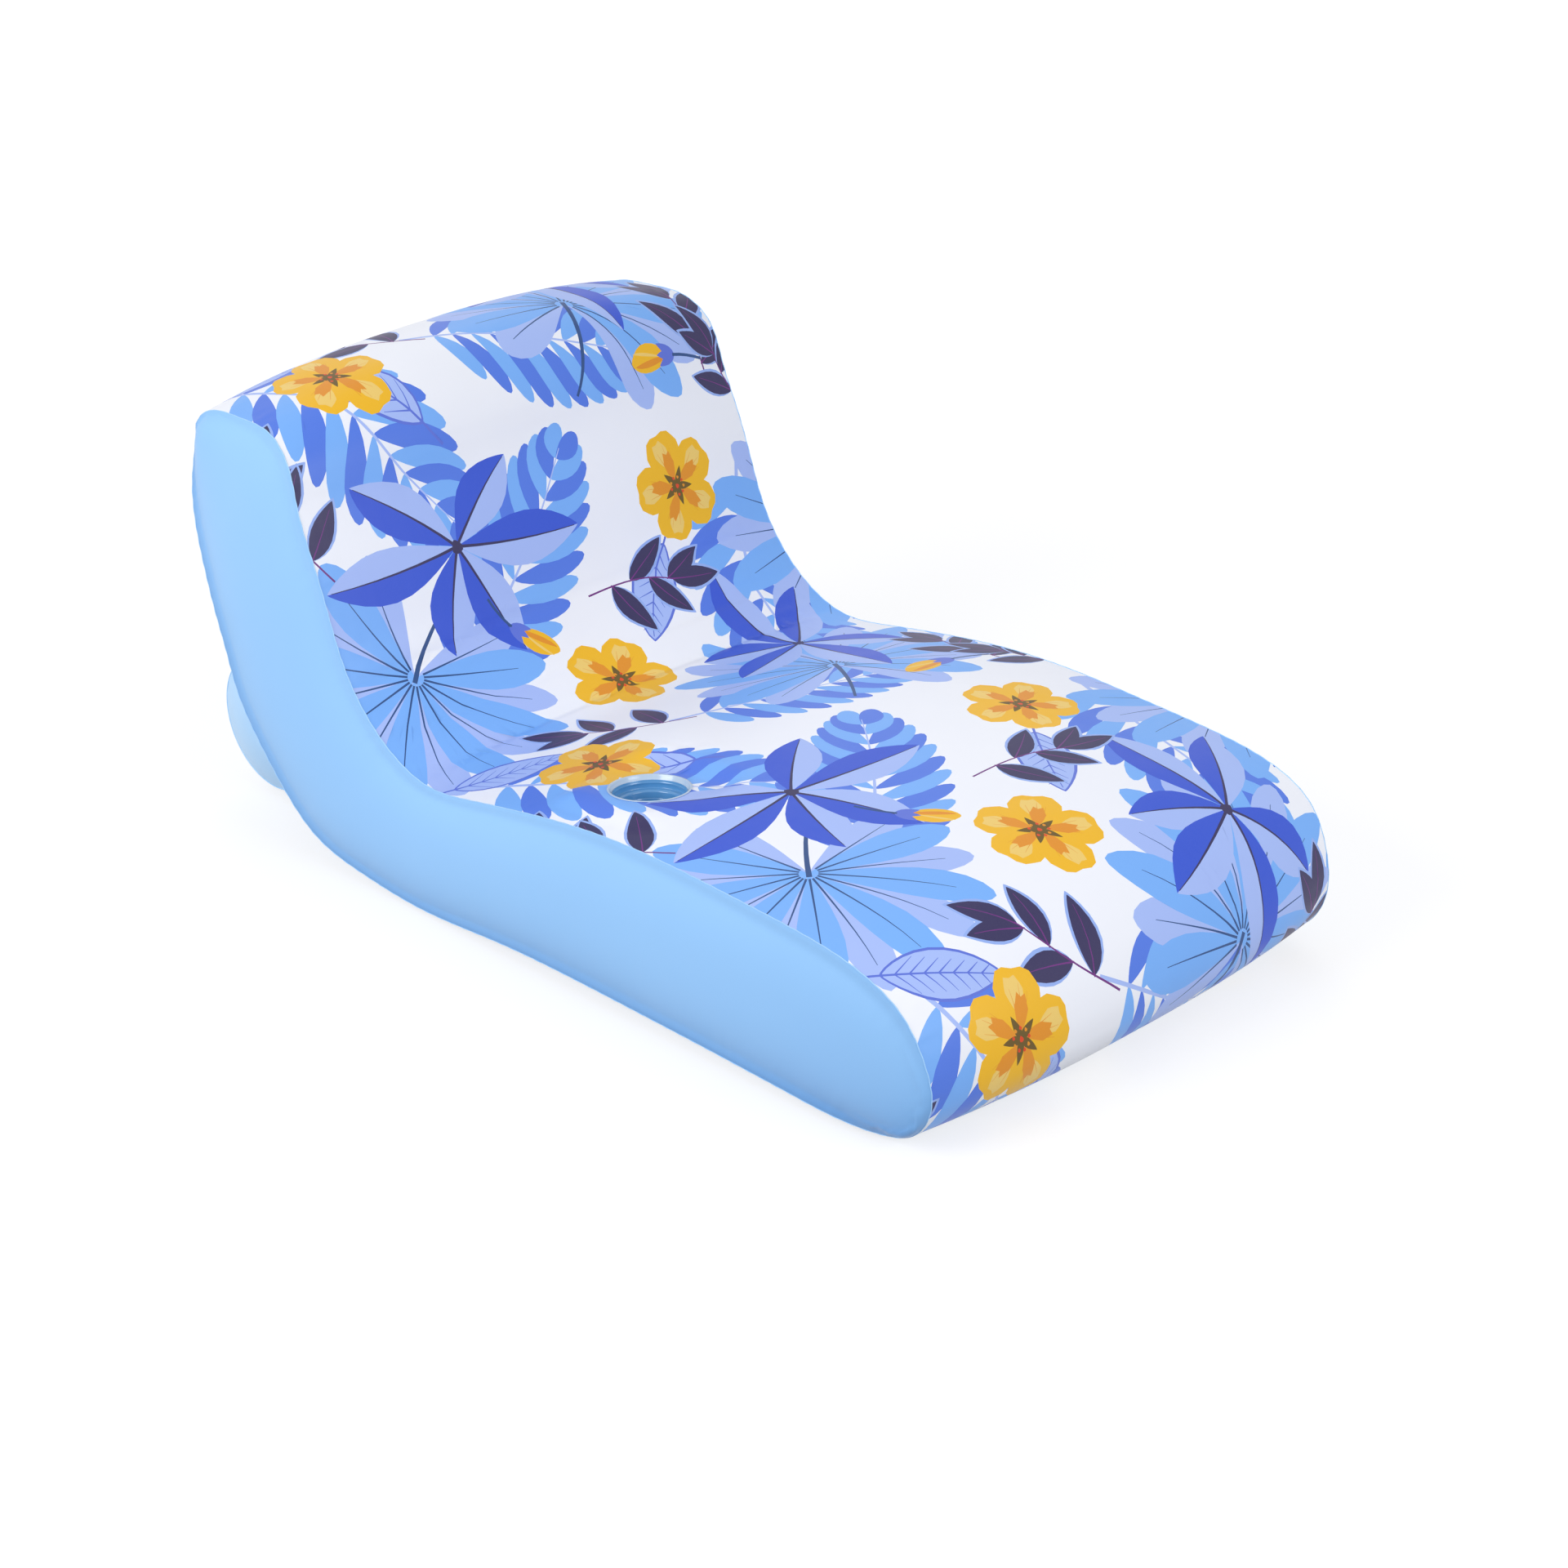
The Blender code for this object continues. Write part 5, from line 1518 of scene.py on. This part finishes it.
@dataclass
class Skin:
    """The four sheets of the main chamber and the seams that weld them."""

    chamber: Chamber
    finishes: Finishes
    under_spacing: float = 0.012
    under_columns: int = 73
    under_edge: float = 0.004
    side_spacing: float = 0.0095
    side_columns: int = 45
    side_bead: float = 0.0008
    cross_bead: float = 0.0009
    cross_inset: float = 0.001
    cross_points: int = 120
    bead_spacing: float = 0.006
    bead_out: float = 0.0006
    bead_low: float = 0.0014
    bead_ripple: float = 0.0004
    # Painted shade on the sides: its reach above the lower seam, and its strength towards the ends, by rib.
    painted_shade_reach: tuple = ((0, 0.020), (16, 0.026), (20, 0.042), (22, 0.045))
    end_shade: tuple = ((0, 0.10), (3, 0.0), (15, 0.0), (19, 0.20), (22, 0.55))

    def build(self) -> None:
        """Build the sheets and seams and dress them."""
        top = TopSheet(self.chamber).film().closed("top_sheet", self.chamber.sizes.film)
        dress(top, self.finishes.top, "printed_vinyl", "root", "top_panel")
        under = self._underside()
        dress(under, self.finishes.under, "side_vinyl", "root", "bottom_panel")
        for name, sign in (("right", -1), ("left", 1)):
            side = self._side(f"side_sheet_{name}", sign)
            dress(side, self.finishes.side, "side_vinyl", "root", f"side_panel_{name}")
            seam = seam_weld(f"side_seam_{name}", self._seam_path(sign), self.finishes.seam, self.side_bead,
                             self.side_bead)
            dress(seam, self.finishes.seam, "side_vinyl", "root")
        for name, station in (("head", 0.0), ("foot", float(self.chamber.outline.last_rib))):
            self._cross_seam(name, station)

    def _underside(self) -> bpy.types.Object:
        """Cut the plain sheet of the underside and the back.

        Returns:
            The sheet, with the main valve's hole.
        """
        chamber = self.chamber
        outline = chamber.outline
        ribs = outline.rib_places(self.under_spacing)[::-1]
        half = chamber.sizes.half_width
        sides = np.linspace(-half, half, self.under_columns)
        sides = np.sort(np.concatenate([sides, [half - self.under_edge, self.under_edge - half]]))
        points = chamber.wrap((outline.count - ribs)[:, None], sides[None, :])
        faces = triangles(numbered(points))[:, ::-1]
        flat = points.reshape(-1, 3)
        centre = chamber.valve_pad.centre
        away = np.linalg.norm(flat[faces].mean(1) - centre, axis=1)
        film = Film(flat, faces)
        if film.normals_of()[len(flat) // 2] @ np.array([-1.0, 0.0, -1.0]) < 0:
            film.faces = film.faces[:, ::-1]
        used, faces = renumbered(film.faces[away > chamber.valve_opening])
        return Film(flat[used], faces).closed("under_sheet", chamber.sizes.film)

    def _side(self, name: str, sign: int) -> bpy.types.Object:
        """Cut one plain side sheet.

        Args:
            name: Name of the piece.
            sign: -1 for the right side, 1 for the left.

        Returns:
            The sheet.
        """
        chamber = self.chamber
        ribs = chamber.outline.rib_places(self.side_spacing)
        shares = np.sin(np.linspace(-np.pi / 2, np.pi / 2, self.side_columns))
        points = chamber.flank(ribs[:, None], shares[None, :], sign)
        ids = numbered(points)
        ids[0], ids[-1] = ids[0, 0], ids[-1, 0]
        used, faces = renumbered(triangles(ids))
        film = Film(points.reshape(-1, 3)[used], faces)
        # Painted shade on the side: darker near its seams and towards its ends.
        film.edges = self._painted_shade_shares(ribs[:, None], shares[None, :]).reshape(-1)[used]
        if film.normals_of()[len(used) // 2][1] * sign < 0:
            film.faces = film.faces[:, ::-1]
        return film.closed(name, chamber.sizes.film)

    def _painted_shade_shares(self, rib: Array, share: Array) -> Array:
        """Return how much painted shade darkens the side's tint, from 0 to 1: near its seams and towards its
        ends, most at the foot.

        Args:
            rib: Rib numbers from head to foot.
            share: -1 on the underside seam, 1 on the top seam.

        Returns:
            The shares.
        """
        outline = self.chamber.outline
        tall = np.linalg.norm(outline.at(rib)[0] - outline.at(outline.count - rib)[0], axis=-1)
        low, high = (1 + share) / 2 * tall, (1 - share) / 2 * tall
        reach, end = eased(rib, self.painted_shade_reach), eased(rib, self.end_shade)
        # Painted shade: strongest along the lower seam, a thin band under the top seam, and more towards the
        # ends.
        return np.clip(np.exp(-low / reach) + 0.20 * np.exp(-high / 0.010) + end, 0.0, 1.0)

    def _seam_path(self, sign: int) -> Array:
        """Find the line of a side seam, round the whole outline.

        Args:
            sign: -1 for the right side, 1 for the left.

        Returns:
            Points of the line.
        """
        chamber = self.chamber
        length = chamber.outline.travel[-1]
        places = np.arange(0, length - self.bead_spacing / 2, self.bead_spacing)
        stations = chamber.outline.station_at(places)
        points = chamber.outline.at(stations)[0]
        wave = np.sin(chamber.outline.length_at(stations) * 2 * np.pi / chamber.pucker_wave)
        out = chamber.sizes.half_width * chamber.drawn(stations) + self.bead_out + self.bead_ripple * wave
        return np.stack([points[:, 0], sign * out, np.maximum(points[:, 1], self.bead_low)], axis=1)

    def _cross_seam(self, name: str, station: float) -> None:
        """Build the seam where the top sheet meets the underside, across the head or the foot.

        Args:
            name: head or foot.
            station: Station of the seam.
        """
        chamber = self.chamber
        half = chamber.sizes.half_width
        sides = np.linspace(-half + self.cross_inset, half - self.cross_inset, self.cross_points)
        path = chamber.wrap(np.full_like(sides, station), sides)
        seam = seam_weld(f"{name}_seam", path, self.finishes.seam, self.cross_bead, self.cross_bead, False)
        dress(seam, self.finishes.seam, "side_vinyl", "root")


@dataclass
class Bolster:
    """Air tube behind the back, with its two domed ends and their seams."""

    chamber: Chamber
    finishes: Finishes
    dome: float = 0.026
    neck: float = 0.004
    neck_length: float = 0.030
    end_flat: float = 0.032
    end_gap: float = 0.0005
    valve_lift: float = 0.00055
    around: int = 108
    squareness: float = 24.0
    fold_reach: float = 0.012
    tube_folds: float = 0.0009
    end_folds: float = 0.0012
    bead: float = 0.0011

    def __post_init__(self) -> None:
        """Take the bolster's sizes from the chamber, and its axis from its pad on the back."""
        chamber, pad = self.chamber, self.chamber.bolster_pad
        self.radius, self.flat = chamber.bolster_radius, chamber.bolster_flat
        self.half_length = chamber.bolster_half_length
        self.away, self.along = pad.axes[2], pad.axes[0]
        lift = self.away * (self.flat + chamber.bolster_stand_off)
        self.axis = np.array([pad.centre[0], 0.0, pad.centre[2]]) + lift

    def ring(self, scale: Array, side: Array, pucker: Array) -> Array:
        """Return rings of points about the axis.

        Args:
            scale: Scale of each ring.
            side: Place of each ring along the axis.
            pucker: Depth of the small folds on each ring.

        Returns:
            The points, one row for each ring.
        """
        turn = 2 * np.pi * (np.arange(self.around) + 0.5) / self.around
        reach = np.full(self.around, self.radius)
        facing = np.cos(turn) > 0
        soft = self.squareness
        flat = self.flat / np.maximum(np.cos(turn), 1e-6)
        reach[facing] = (self.radius ** -soft + flat[facing] ** -soft) ** (-1 / soft)
        wave = np.sin(turn * 27 + 1.5 * np.sin(turn * 4)) * (0.7 + 0.3 * np.sin(turn * 7))
        reach = reach[None, :] * scale[:, None] + pucker[:, None] * wave[None, :] * (~facing)[None, :]
        across, up = reach * np.cos(turn), reach * np.sin(turn)
        place = self.axis - self.away * across[..., None] + self.along * up[..., None]
        return place + np.stack([0 * side, side, 0 * side], axis=-1)[:, None, :]

    def build(self) -> None:
        """Build the tube, its ends and their seams."""
        edge = self.half_length
        inner = edge - self.neck_length
        share = np.linspace(0, 1, 12)
        near = inner + self.neck_length * np.sin(share * np.pi / 2)
        middle = np.linspace(-inner, inner, 40)
        side = np.concatenate([-near[::-1], middle[1:-1], near])
        deep = np.clip((np.abs(side) - inner) / self.neck_length, 0, 1)
        scale = 1 - (self.neck / self.radius) * (1 - np.sqrt(np.maximum(1 - deep ** 2, 0)))
        fade = np.exp(-(edge - np.abs(side)) / self.fold_reach) * (np.abs(side) < edge - self.end_gap)
        tube = self._skin("bolster_skin", self.ring(scale, side, self.tube_folds * fade), 0)
        dress(tube, self.finishes.bolster, "bolster_vinyl", "root", "bolster_tube")
        neck = 1 - self.neck / self.radius
        for name, sign in (("right", -1), ("left", 1)):
            share = np.cos(np.linspace(0, np.pi / 2, 18)) ** 0.8
            share[-1] = 0.0
            flat_share = self.end_flat / self.radius
            rise = self.dome * np.minimum((1 - share ** 2) / (1 - flat_share ** 2), 1.0)
            place = sign * (edge + self.end_gap + rise)
            off = 1 - share
            pucker = self.end_folds * np.exp(-off / 0.10) * np.minimum(off / 0.03, 1.0) * (share > 0)
            hole = self.chamber.valve_opening / self.radius if sign > 0 else 0.0
            share = share[share >= hole] if hole else share
            rings = self.ring(neck * share, place[:len(share)], pucker[:len(share)])
            end = self._skin(f"bolster_end_{name}_skin", rings, sign)
            dress(end, self.finishes.bolster, "bolster_vinyl", "root", f"bolster_end_{name}")
            seam_side = sign * (edge + self.chamber.sizes.gap)
            line = self.ring(np.array([neck]), np.array([seam_side]), np.zeros(1))[0]
            seam = seam_weld(f"bolster_seam_{name}", line, self.finishes.seam, self.bead, self.bead)
            dress(seam, self.finishes.seam, "bolster_vinyl", "root")

    def _skin(self, name: str, rings: Array, sign: int) -> bpy.types.Object:
        """Make rings of points a film, with its faces away from the tube's inside.

        Args:
            name: Name of the piece.
            rings: The points, one row for each ring.
            sign: 0 for the tube, -1 for its right end, 1 for its left end.

        Returns:
            The piece.
        """
        ids = numbered(rings)
        flat = rings.reshape(-1, 3)
        if sign and np.ptp(rings[-1], axis=0).max() < 1e-9:
            ids[-1] = ids[-1, 0]
        ids = np.concatenate([ids, ids[:, :1]], axis=1)
        used, faces = renumbered(triangles(ids))
        film = Film(flat[used], faces)
        k = len(used) // 3
        out = np.array([0.0, float(sign), 0.0]) if sign else flat[used][k] - self.axis
        if film.normals_of()[k] @ (out * (1, abs(sign), 1)) < 0:
            film.faces = film.faces[:, ::-1]
        return film.closed(name, self.chamber.sizes.film)

    @property
    def end_matrix(self) -> Matrix:
        """Find the frame of the left end's middle, where the bolster's valve sits.

        Returns:
            The frame, with Z out of the tube.
        """
        middle = self.axis + (0.0, self.half_length + self.valve_lift + self.dome, 0.0)
        out = np.array([0.0, 1.0, 0.0])
        return placed(np.array([self.along, np.cross(out, self.along), out]), middle)


@dataclass
class CupHolder:
    """Clear flange, stepped wall and teal floor of the cup holder."""

    frame: Matrix
    finishes: Finishes
    flange: float = 0.062
    hole: float = 0.0598
    lip: float = 0.054
    dish: float = 0.007
    ledge: float = 0.0435
    floor: float = 0.0375
    ledge_depth: float = 0.018
    depth: float = 0.070
    wall: float = 0.0008
    gap: float = 0.0003
    top: float = 0.0013
    mark_radius: float = 0.0610
    steps: int = 96

    def build(self) -> None:
        """Build the three pieces and the marks of the weld."""
        inner, top, gap = self.lip + self.wall + self.gap, self.top, self.gap
        ring = Fitting("cup_ring", self.frame)
        ring.ring(rounded([(inner, gap - self.dish), (self.hole - gap, gap), (self.flange, gap),
                           (self.flange, top), (self.hole + 0.0004, top), (self.hole, top + 0.0003),
                           (self.hole - 0.0012, top), (inner + 0.0016, top - self.dish * 0.62),
                           (inner, top - self.dish)], 0.0006), self.steps)
        dress(ring.finish(), self.finishes.clear, "clear_vinyl", "root", "cup_flange")
        marks = ring_marks("cup_weld_marks", self.frame, self.finishes.clear, self.steps, self.mark_radius,
                           top, 0.0012, 0.0007, 0.0004)
        dress(marks, self.finishes.clear, "clear_vinyl", "root")
        wall = Fitting("cup_well", self.frame)
        wall.ring(self._section(), self.steps)
        dress(wall.finish(), self.finishes.cup, "clear_vinyl", "root", "cup_wall")
        low = -self.depth + self.wall + gap
        floor = Fitting("cup_base", self.frame)
        floor.ring(rounded([(0.0, low), (0.0371, low), (0.0371, low + 0.0009), (0.030, low + 0.0009),
                            (0.029, low + 0.0016), (0.026, low + 0.0016), (0.025, low + 0.0009),
                            (0.0, low + 0.0009)], 0.0004), 72)
        dress(floor.finish(), self.finishes.teal, "teal_vinyl", "root", "cup_floor")

    def _section(self) -> Array:
        """Draw the wall's section, with the rings that stiffen it.

        Returns:
            The section as radius and height.
        """
        rim = 0.0015 - self.dish
        inside = [(self.lip, rim), (self.lip - 0.0003, -0.0085), (self.lip - 0.0010, -0.0100),
                  (self.lip - 0.0004, -0.0120), (self.lip - 0.0008, -self.ledge_depth),
                  (self.ledge + 0.0035, -self.ledge_depth - 0.0004), (self.ledge + 0.0010, -0.0205),
                  (self.ledge - 0.0002, -0.030), (self.ledge - 0.0010, -0.0315),
                  (self.ledge - 0.0010, -0.034), (self.ledge - 0.0022, -0.0355),
                  (self.ledge - 0.0030, -0.048), (self.ledge - 0.0040, -0.0495),
                  (self.ledge - 0.0040, -0.052), (self.floor + 0.0012, -0.0535),
                  (self.floor, -self.depth + self.wall), (self.floor - 0.004, -self.depth + self.wall)]
        outside = [(radius + (self.wall if height > -self.depth + 0.002 else 0.0), height - self.wall / 2)
                   for radius, height in inside[:-2]]
        outside[0] = (self.lip + self.wall, rim)
        tail = [(self.floor + self.wall, -self.depth), (self.floor - 0.004, -self.depth)]
        return rounded(inside[::-1] + outside + tail, 0.0009, 3)


@dataclass
class Valve:
    """One safety valve: flange and collar, sliding stem, one-way flap and hinged plug.

    The frame's Z points out of the chamber, and its X to the plug's strap.
    """

    name: str
    frame: Matrix
    finishes: Finishes
    flange: float = 0.023
    collar: float = 0.0105
    bore: float = 0.0083
    stem: float = 0.0080
    stem_bore: float = 0.0048
    lip: float = 0.0100
    plug: float = 0.0095
    top: float = 0.0015
    rim: float = 0.0053
    lip_top: float = 0.0067
    gap: float = 0.0003
    round_off: float = 0.0004

    def _fitting(self, part: str) -> Fitting:
        """Start one of the valve's pieces."""
        return Fitting(f"{self.name}_{part}_piece", self.frame)

    def build(self) -> None:
        """Build the four pieces and the marks of the weld."""
        self._base()
        self._stem()
        self._plug()
        self._flap()

    def _base(self) -> None:
        """Build the flange and collar that are welded to the skin, with the marks of the weld."""
        plastic, top, gap = self.finishes.valve, self.top, self.gap
        base = self._fitting("base")
        base.ring(rounded([(self.bore, -0.0084), (self.collar, -0.0084), (self.collar, gap),
                           (self.flange, gap), (self.flange, top - 0.0003), (0.0190, top),
                           (0.0186, top + 0.0004), (0.0176, top + 0.0004), (0.0172, top), (0.0122, top),
                           (self.collar, top + 0.0012), (self.collar, 0.0050), (self.bore, 0.0050)],
                          self.round_off), 72)
        dress(base.finish(), plastic, "valve_plastic", "root", f"{self.name}_base")
        marks = ring_marks(f"{self.name}_weld_marks", self.frame, plastic, 60, 0.0208, top, 0.0022, 0.0007,
                           0.0005)
        dress(marks, plastic, "valve_plastic", "root")

    def _stem(self) -> None:
        """Build the stem that slides in the collar, with the foot of the plug's strap."""
        rim, lip_top = self.rim, self.lip_top
        stem = self._fitting("stem")
        stem.ring(rounded([(self.stem_bore, -0.0207), (self.stem, -0.0207), (self.stem, rim),
                           (self.lip, rim), (self.lip, lip_top), (self.stem_bore, lip_top)],
                          self.round_off), 60)
        foot = np.array([(self.lip - 0.001, 0.0060), (self.lip + 0.0040, 0.0060)])
        stem.ribbon(foot, 0.0030, 0.0012)
        dress(stem.finish(), self.finishes.valve, "valve_plastic", f"{self.name}_stem", f"{self.name}_stem")

    def _plug(self) -> None:
        """Build the plug with its strap, its pull tab and the grip round its rim."""
        plastic, low = self.finishes.valve, self.lip_top + self.gap
        plug = self._fitting("plug")
        plug.ring(rounded([(0.0, low - 0.005), (0.0030, low - 0.005), (0.0044, low), (self.plug, low),
                           (self.plug, low + 0.0018), (0.0072, low + 0.0018), (0.0066, low + 0.0012),
                           (0.0040, low + 0.0012), (0.0034, low + 0.0018), (0.0, low + 0.0018)],
                          self.round_off), 60)
        hinge = self.lip + 0.0028
        strap = np.array([(self.plug - 0.0006, low + 0.0009), (self.plug + 0.0012, low + 0.0010),
                          (hinge - 0.0008, low + 0.0010), (hinge + 0.0006, low + 0.0010)])
        plug.ribbon(strap, 0.0029, 0.0012)
        tab = np.array([(-self.plug + 0.0006, low + 0.0010), (-self.plug - 0.0022, low + 0.0013)])
        plug.ribbon(tab[::-1], 0.0026, 0.0010)
        dress(plug.finish(), plastic, "valve_plastic", f"{self.name}_plug", f"{self.name}_plug")
        grip = ring_marks(f"{self.name}_plug_grip", self.frame, plastic, 28, self.plug, low + 0.0009,
                          0.0006, 0.0009, 0.0013)
        dress(grip, plastic, "valve_plastic", f"{self.name}_plug")

    def _flap(self) -> None:
        """Build the one-way flap inside the stem's lower end."""
        flap = self._fitting("flap")
        flap.ring(rounded([(0.0, -0.0218), (0.0078, -0.0218), (0.0078, -0.0210), (0.0, -0.0210)], 0.0002), 48)
        dress(flap.finish(), self.finishes.web, "web_vinyl", f"{self.name}_flap", f"{self.name}_flap")


@dataclass(frozen=True)
class Lamp:
    """One soft square lamp that faces the lounger."""

    name: str
    place: tuple[float, float, float]
    size: float
    power: float
    in_gloss: bool = True
    aim: tuple[float, float, float] = (0.0, 0.0, 0.25)

    def hang(self) -> None:
        """Hang the lamp at its place."""
        data = bpy.data.lights.new(self.name, "AREA")
        data.size = self.size
        data.energy = self.power
        lamp = link_object(self.name, data)
        lamp.location = self.place
        lamp.rotation_euler = (Vector(self.aim) - Vector(self.place)).to_track_quat("-Z", "Y").to_euler()
        lamp.visible_glossy = self.in_gloss


@dataclass(frozen=True)
class Studio:
    """Camera, floor, room and lamps."""

    place: tuple[float, float, float] = (3.8533, -3.9102, 2.8867)
    azimuth: float = 43.96
    elevation: float = 26.51
    roll: float = 0.72
    lens: float = 92.7
    sensor: float = 36.0
    floor_reach: float = 30.0
    glow_from: tuple[float, float] = (2.5, 0.70)
    glow_to: tuple[float, float] = (6.0, 0.82)
    room_light: float = 0.54
    lamps: tuple[Lamp, ...] = (Lamp("key", (-1.0, -5.1, 3.0), 3.2, 196.0),
                               Lamp("fill", (5.2, 0.4, 2.6), 3.0, 122.0),
                               Lamp("back", (-4.0, 3.9, 2.4), 3.2, 76.0, in_gloss=False))

    def build(self) -> None:
        """Set the camera, the floor, the room and the lamps."""
        self._camera()
        self._floor()
        self._room()
        for lamp in self.lamps:
            lamp.hang()

    def _camera(self) -> None:
        """Put the camera where the photograph was taken from."""
        a, e, r = (math.radians(value) for value in (self.azimuth, self.elevation, self.roll))
        right = np.array([math.cos(a), math.sin(a), 0.0])
        back = np.array([math.sin(a) * math.cos(e), -math.cos(a) * math.cos(e), math.sin(e)])
        up = np.cross(back, right)
        across = right * math.cos(r) + up * math.sin(r)
        upward = -right * math.sin(r) + up * math.cos(r)
        data = bpy.data.cameras.new("view")
        data.lens = self.lens
        data.sensor_width = self.sensor
        camera = link_object("view", data)
        camera.matrix_world = placed(np.array([across, upward, back]), self.place)
        bpy.context.scene.camera = camera

    def _show(self, nodes: Nodes, output: str, lighting: bpy.types.NodeSocket,
              showing: bpy.types.NodeSocket) -> None:
        """End a tree in one shader that lights the lounger and another that is seen.

        The second is for the camera's rays, and for those off gloss and through clear film.

        Args:
            nodes: Nodes of the floor or of the room.
            output: Name of the node that they end in.
            lighting: Shader for the rays that light the lounger.
            showing: Shader for the rays that show the room.
        """
        path = nodes.add("ShaderNodeLightPath")
        shown = path.outputs["Is Camera Ray"]
        for ray in ("Is Glossy Ray", "Is Transmission Ray"):
            either = nodes.add("ShaderNodeMath", {"operation": "ADD", "use_clamp": True})
            nodes.fill(either.inputs[0], shown)
            nodes.fill(either.inputs[1], path.outputs[ray])
            shown = either.outputs["Value"]
        mix = nodes.add("ShaderNodeMixShader", Fac=shown)
        nodes.fill(mix.inputs[1], lighting)
        nodes.fill(mix.inputs[2], showing)
        nodes.fill(nodes.tree.nodes[output].inputs["Surface"], mix.outputs["Shader"])

    def _floor(self) -> None:
        """Lay a pale floor that shows white to the camera and keeps the shadow."""
        data = bpy.data.meshes.new("floor")
        reach = self.floor_reach
        corners = [(x * reach, y * reach, 0.0) for x, y in ((-1, -1), (1, -1), (1, 1), (-1, 1))]
        data.from_pydata(corners, [], [(0, 1, 2, 3)])
        floor = link_object("floor", data)
        surface = Surface("pale_floor")
        for name, value in (("Base Color", (0.42, 0.43, 0.44, 1.0)), ("Roughness", 0.9),
                            ("Specular IOR Level", 0.0)):
            surface.shader.inputs[name].default_value = value
        seen = surface.add("ShaderNodeBsdfDiffuse", Color=(0.36, 0.36, 0.37, 1.0))
        away = surface.add("ShaderNodeVectorMath", {"operation": "LENGTH"}, Vector=surface.coordinates)
        (near, low), (far, high) = self.glow_from, self.glow_to
        fade = surface.add("ShaderNodeMapRange", Value=away.outputs["Value"], From_Min=near, From_Max=far,
                           To_Min=low, To_Max=high)
        glow = surface.add("ShaderNodeEmission", Color=(1.0, 1.0, 1.0, 1.0), Strength=fade.outputs["Result"])
        both = surface.add("ShaderNodeAddShader")
        surface.fill(both.inputs[0], seen.outputs["BSDF"])
        surface.fill(both.inputs[1], glow.outputs["Emission"])
        self._show(surface, "Material Output", surface.shader.outputs["BSDF"], both.outputs["Shader"])
        data.materials.append(surface.material)

    def _room(self) -> None:
        """Fill the room with soft light, and show it white to the camera."""
        world = bpy.data.worlds.new("room")
        bpy.context.scene.world = world
        world.use_nodes = True
        nodes = Nodes(world.node_tree)
        sky = world.node_tree.nodes["Background"]
        sky.inputs["Color"].default_value = (0.97, 0.98, 1.0, 1.0)
        sky.inputs["Strength"].default_value = self.room_light
        white = nodes.add("ShaderNodeBackground", Color=(1.0, 1.0, 1.0, 1.0))
        self._show(nodes, "World Output", sky.outputs["Background"], white.outputs["Background"])


def dress_kept_nodes(finishes: Finishes) -> None:
    """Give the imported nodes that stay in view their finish.

    Args:
        finishes: All the finishes.
    """
    kept = {"bolster_strip_upper": finishes.seam, "bolster_strip_lower": finishes.seam}
    for place in ("back_upper", "back_lower", "crease", "seat", "foot"):
        kept[f"web_{place}"] = finishes.web
    for name, material in kept.items():
        node = frame["nodes"][name]
        for slot in node.material_slots:
            slot.material = material


def main() -> None:
    """Build the lounger and its studio."""
    logging.basicConfig(level=logging.INFO, format="%(message)s")
    bpy.context.scene.view_settings.view_transform = "Standard"
    Studio().build()
    finishes = Finishes()
    chamber = Chamber(SkinSizes())
    chamber.blow_up()
    Skin(chamber, finishes).build()
    bolster = Bolster(chamber, finishes)
    bolster.build()
    CupHolder(chamber.cup_pad.matrix, finishes).build()
    Valve("main_valve", chamber.valve_pad.matrix, finishes).build()
    Valve("bolster_valve", bolster.end_matrix, finishes).build()
    dress_kept_nodes(finishes)


if __name__ == "__main__":
    main()
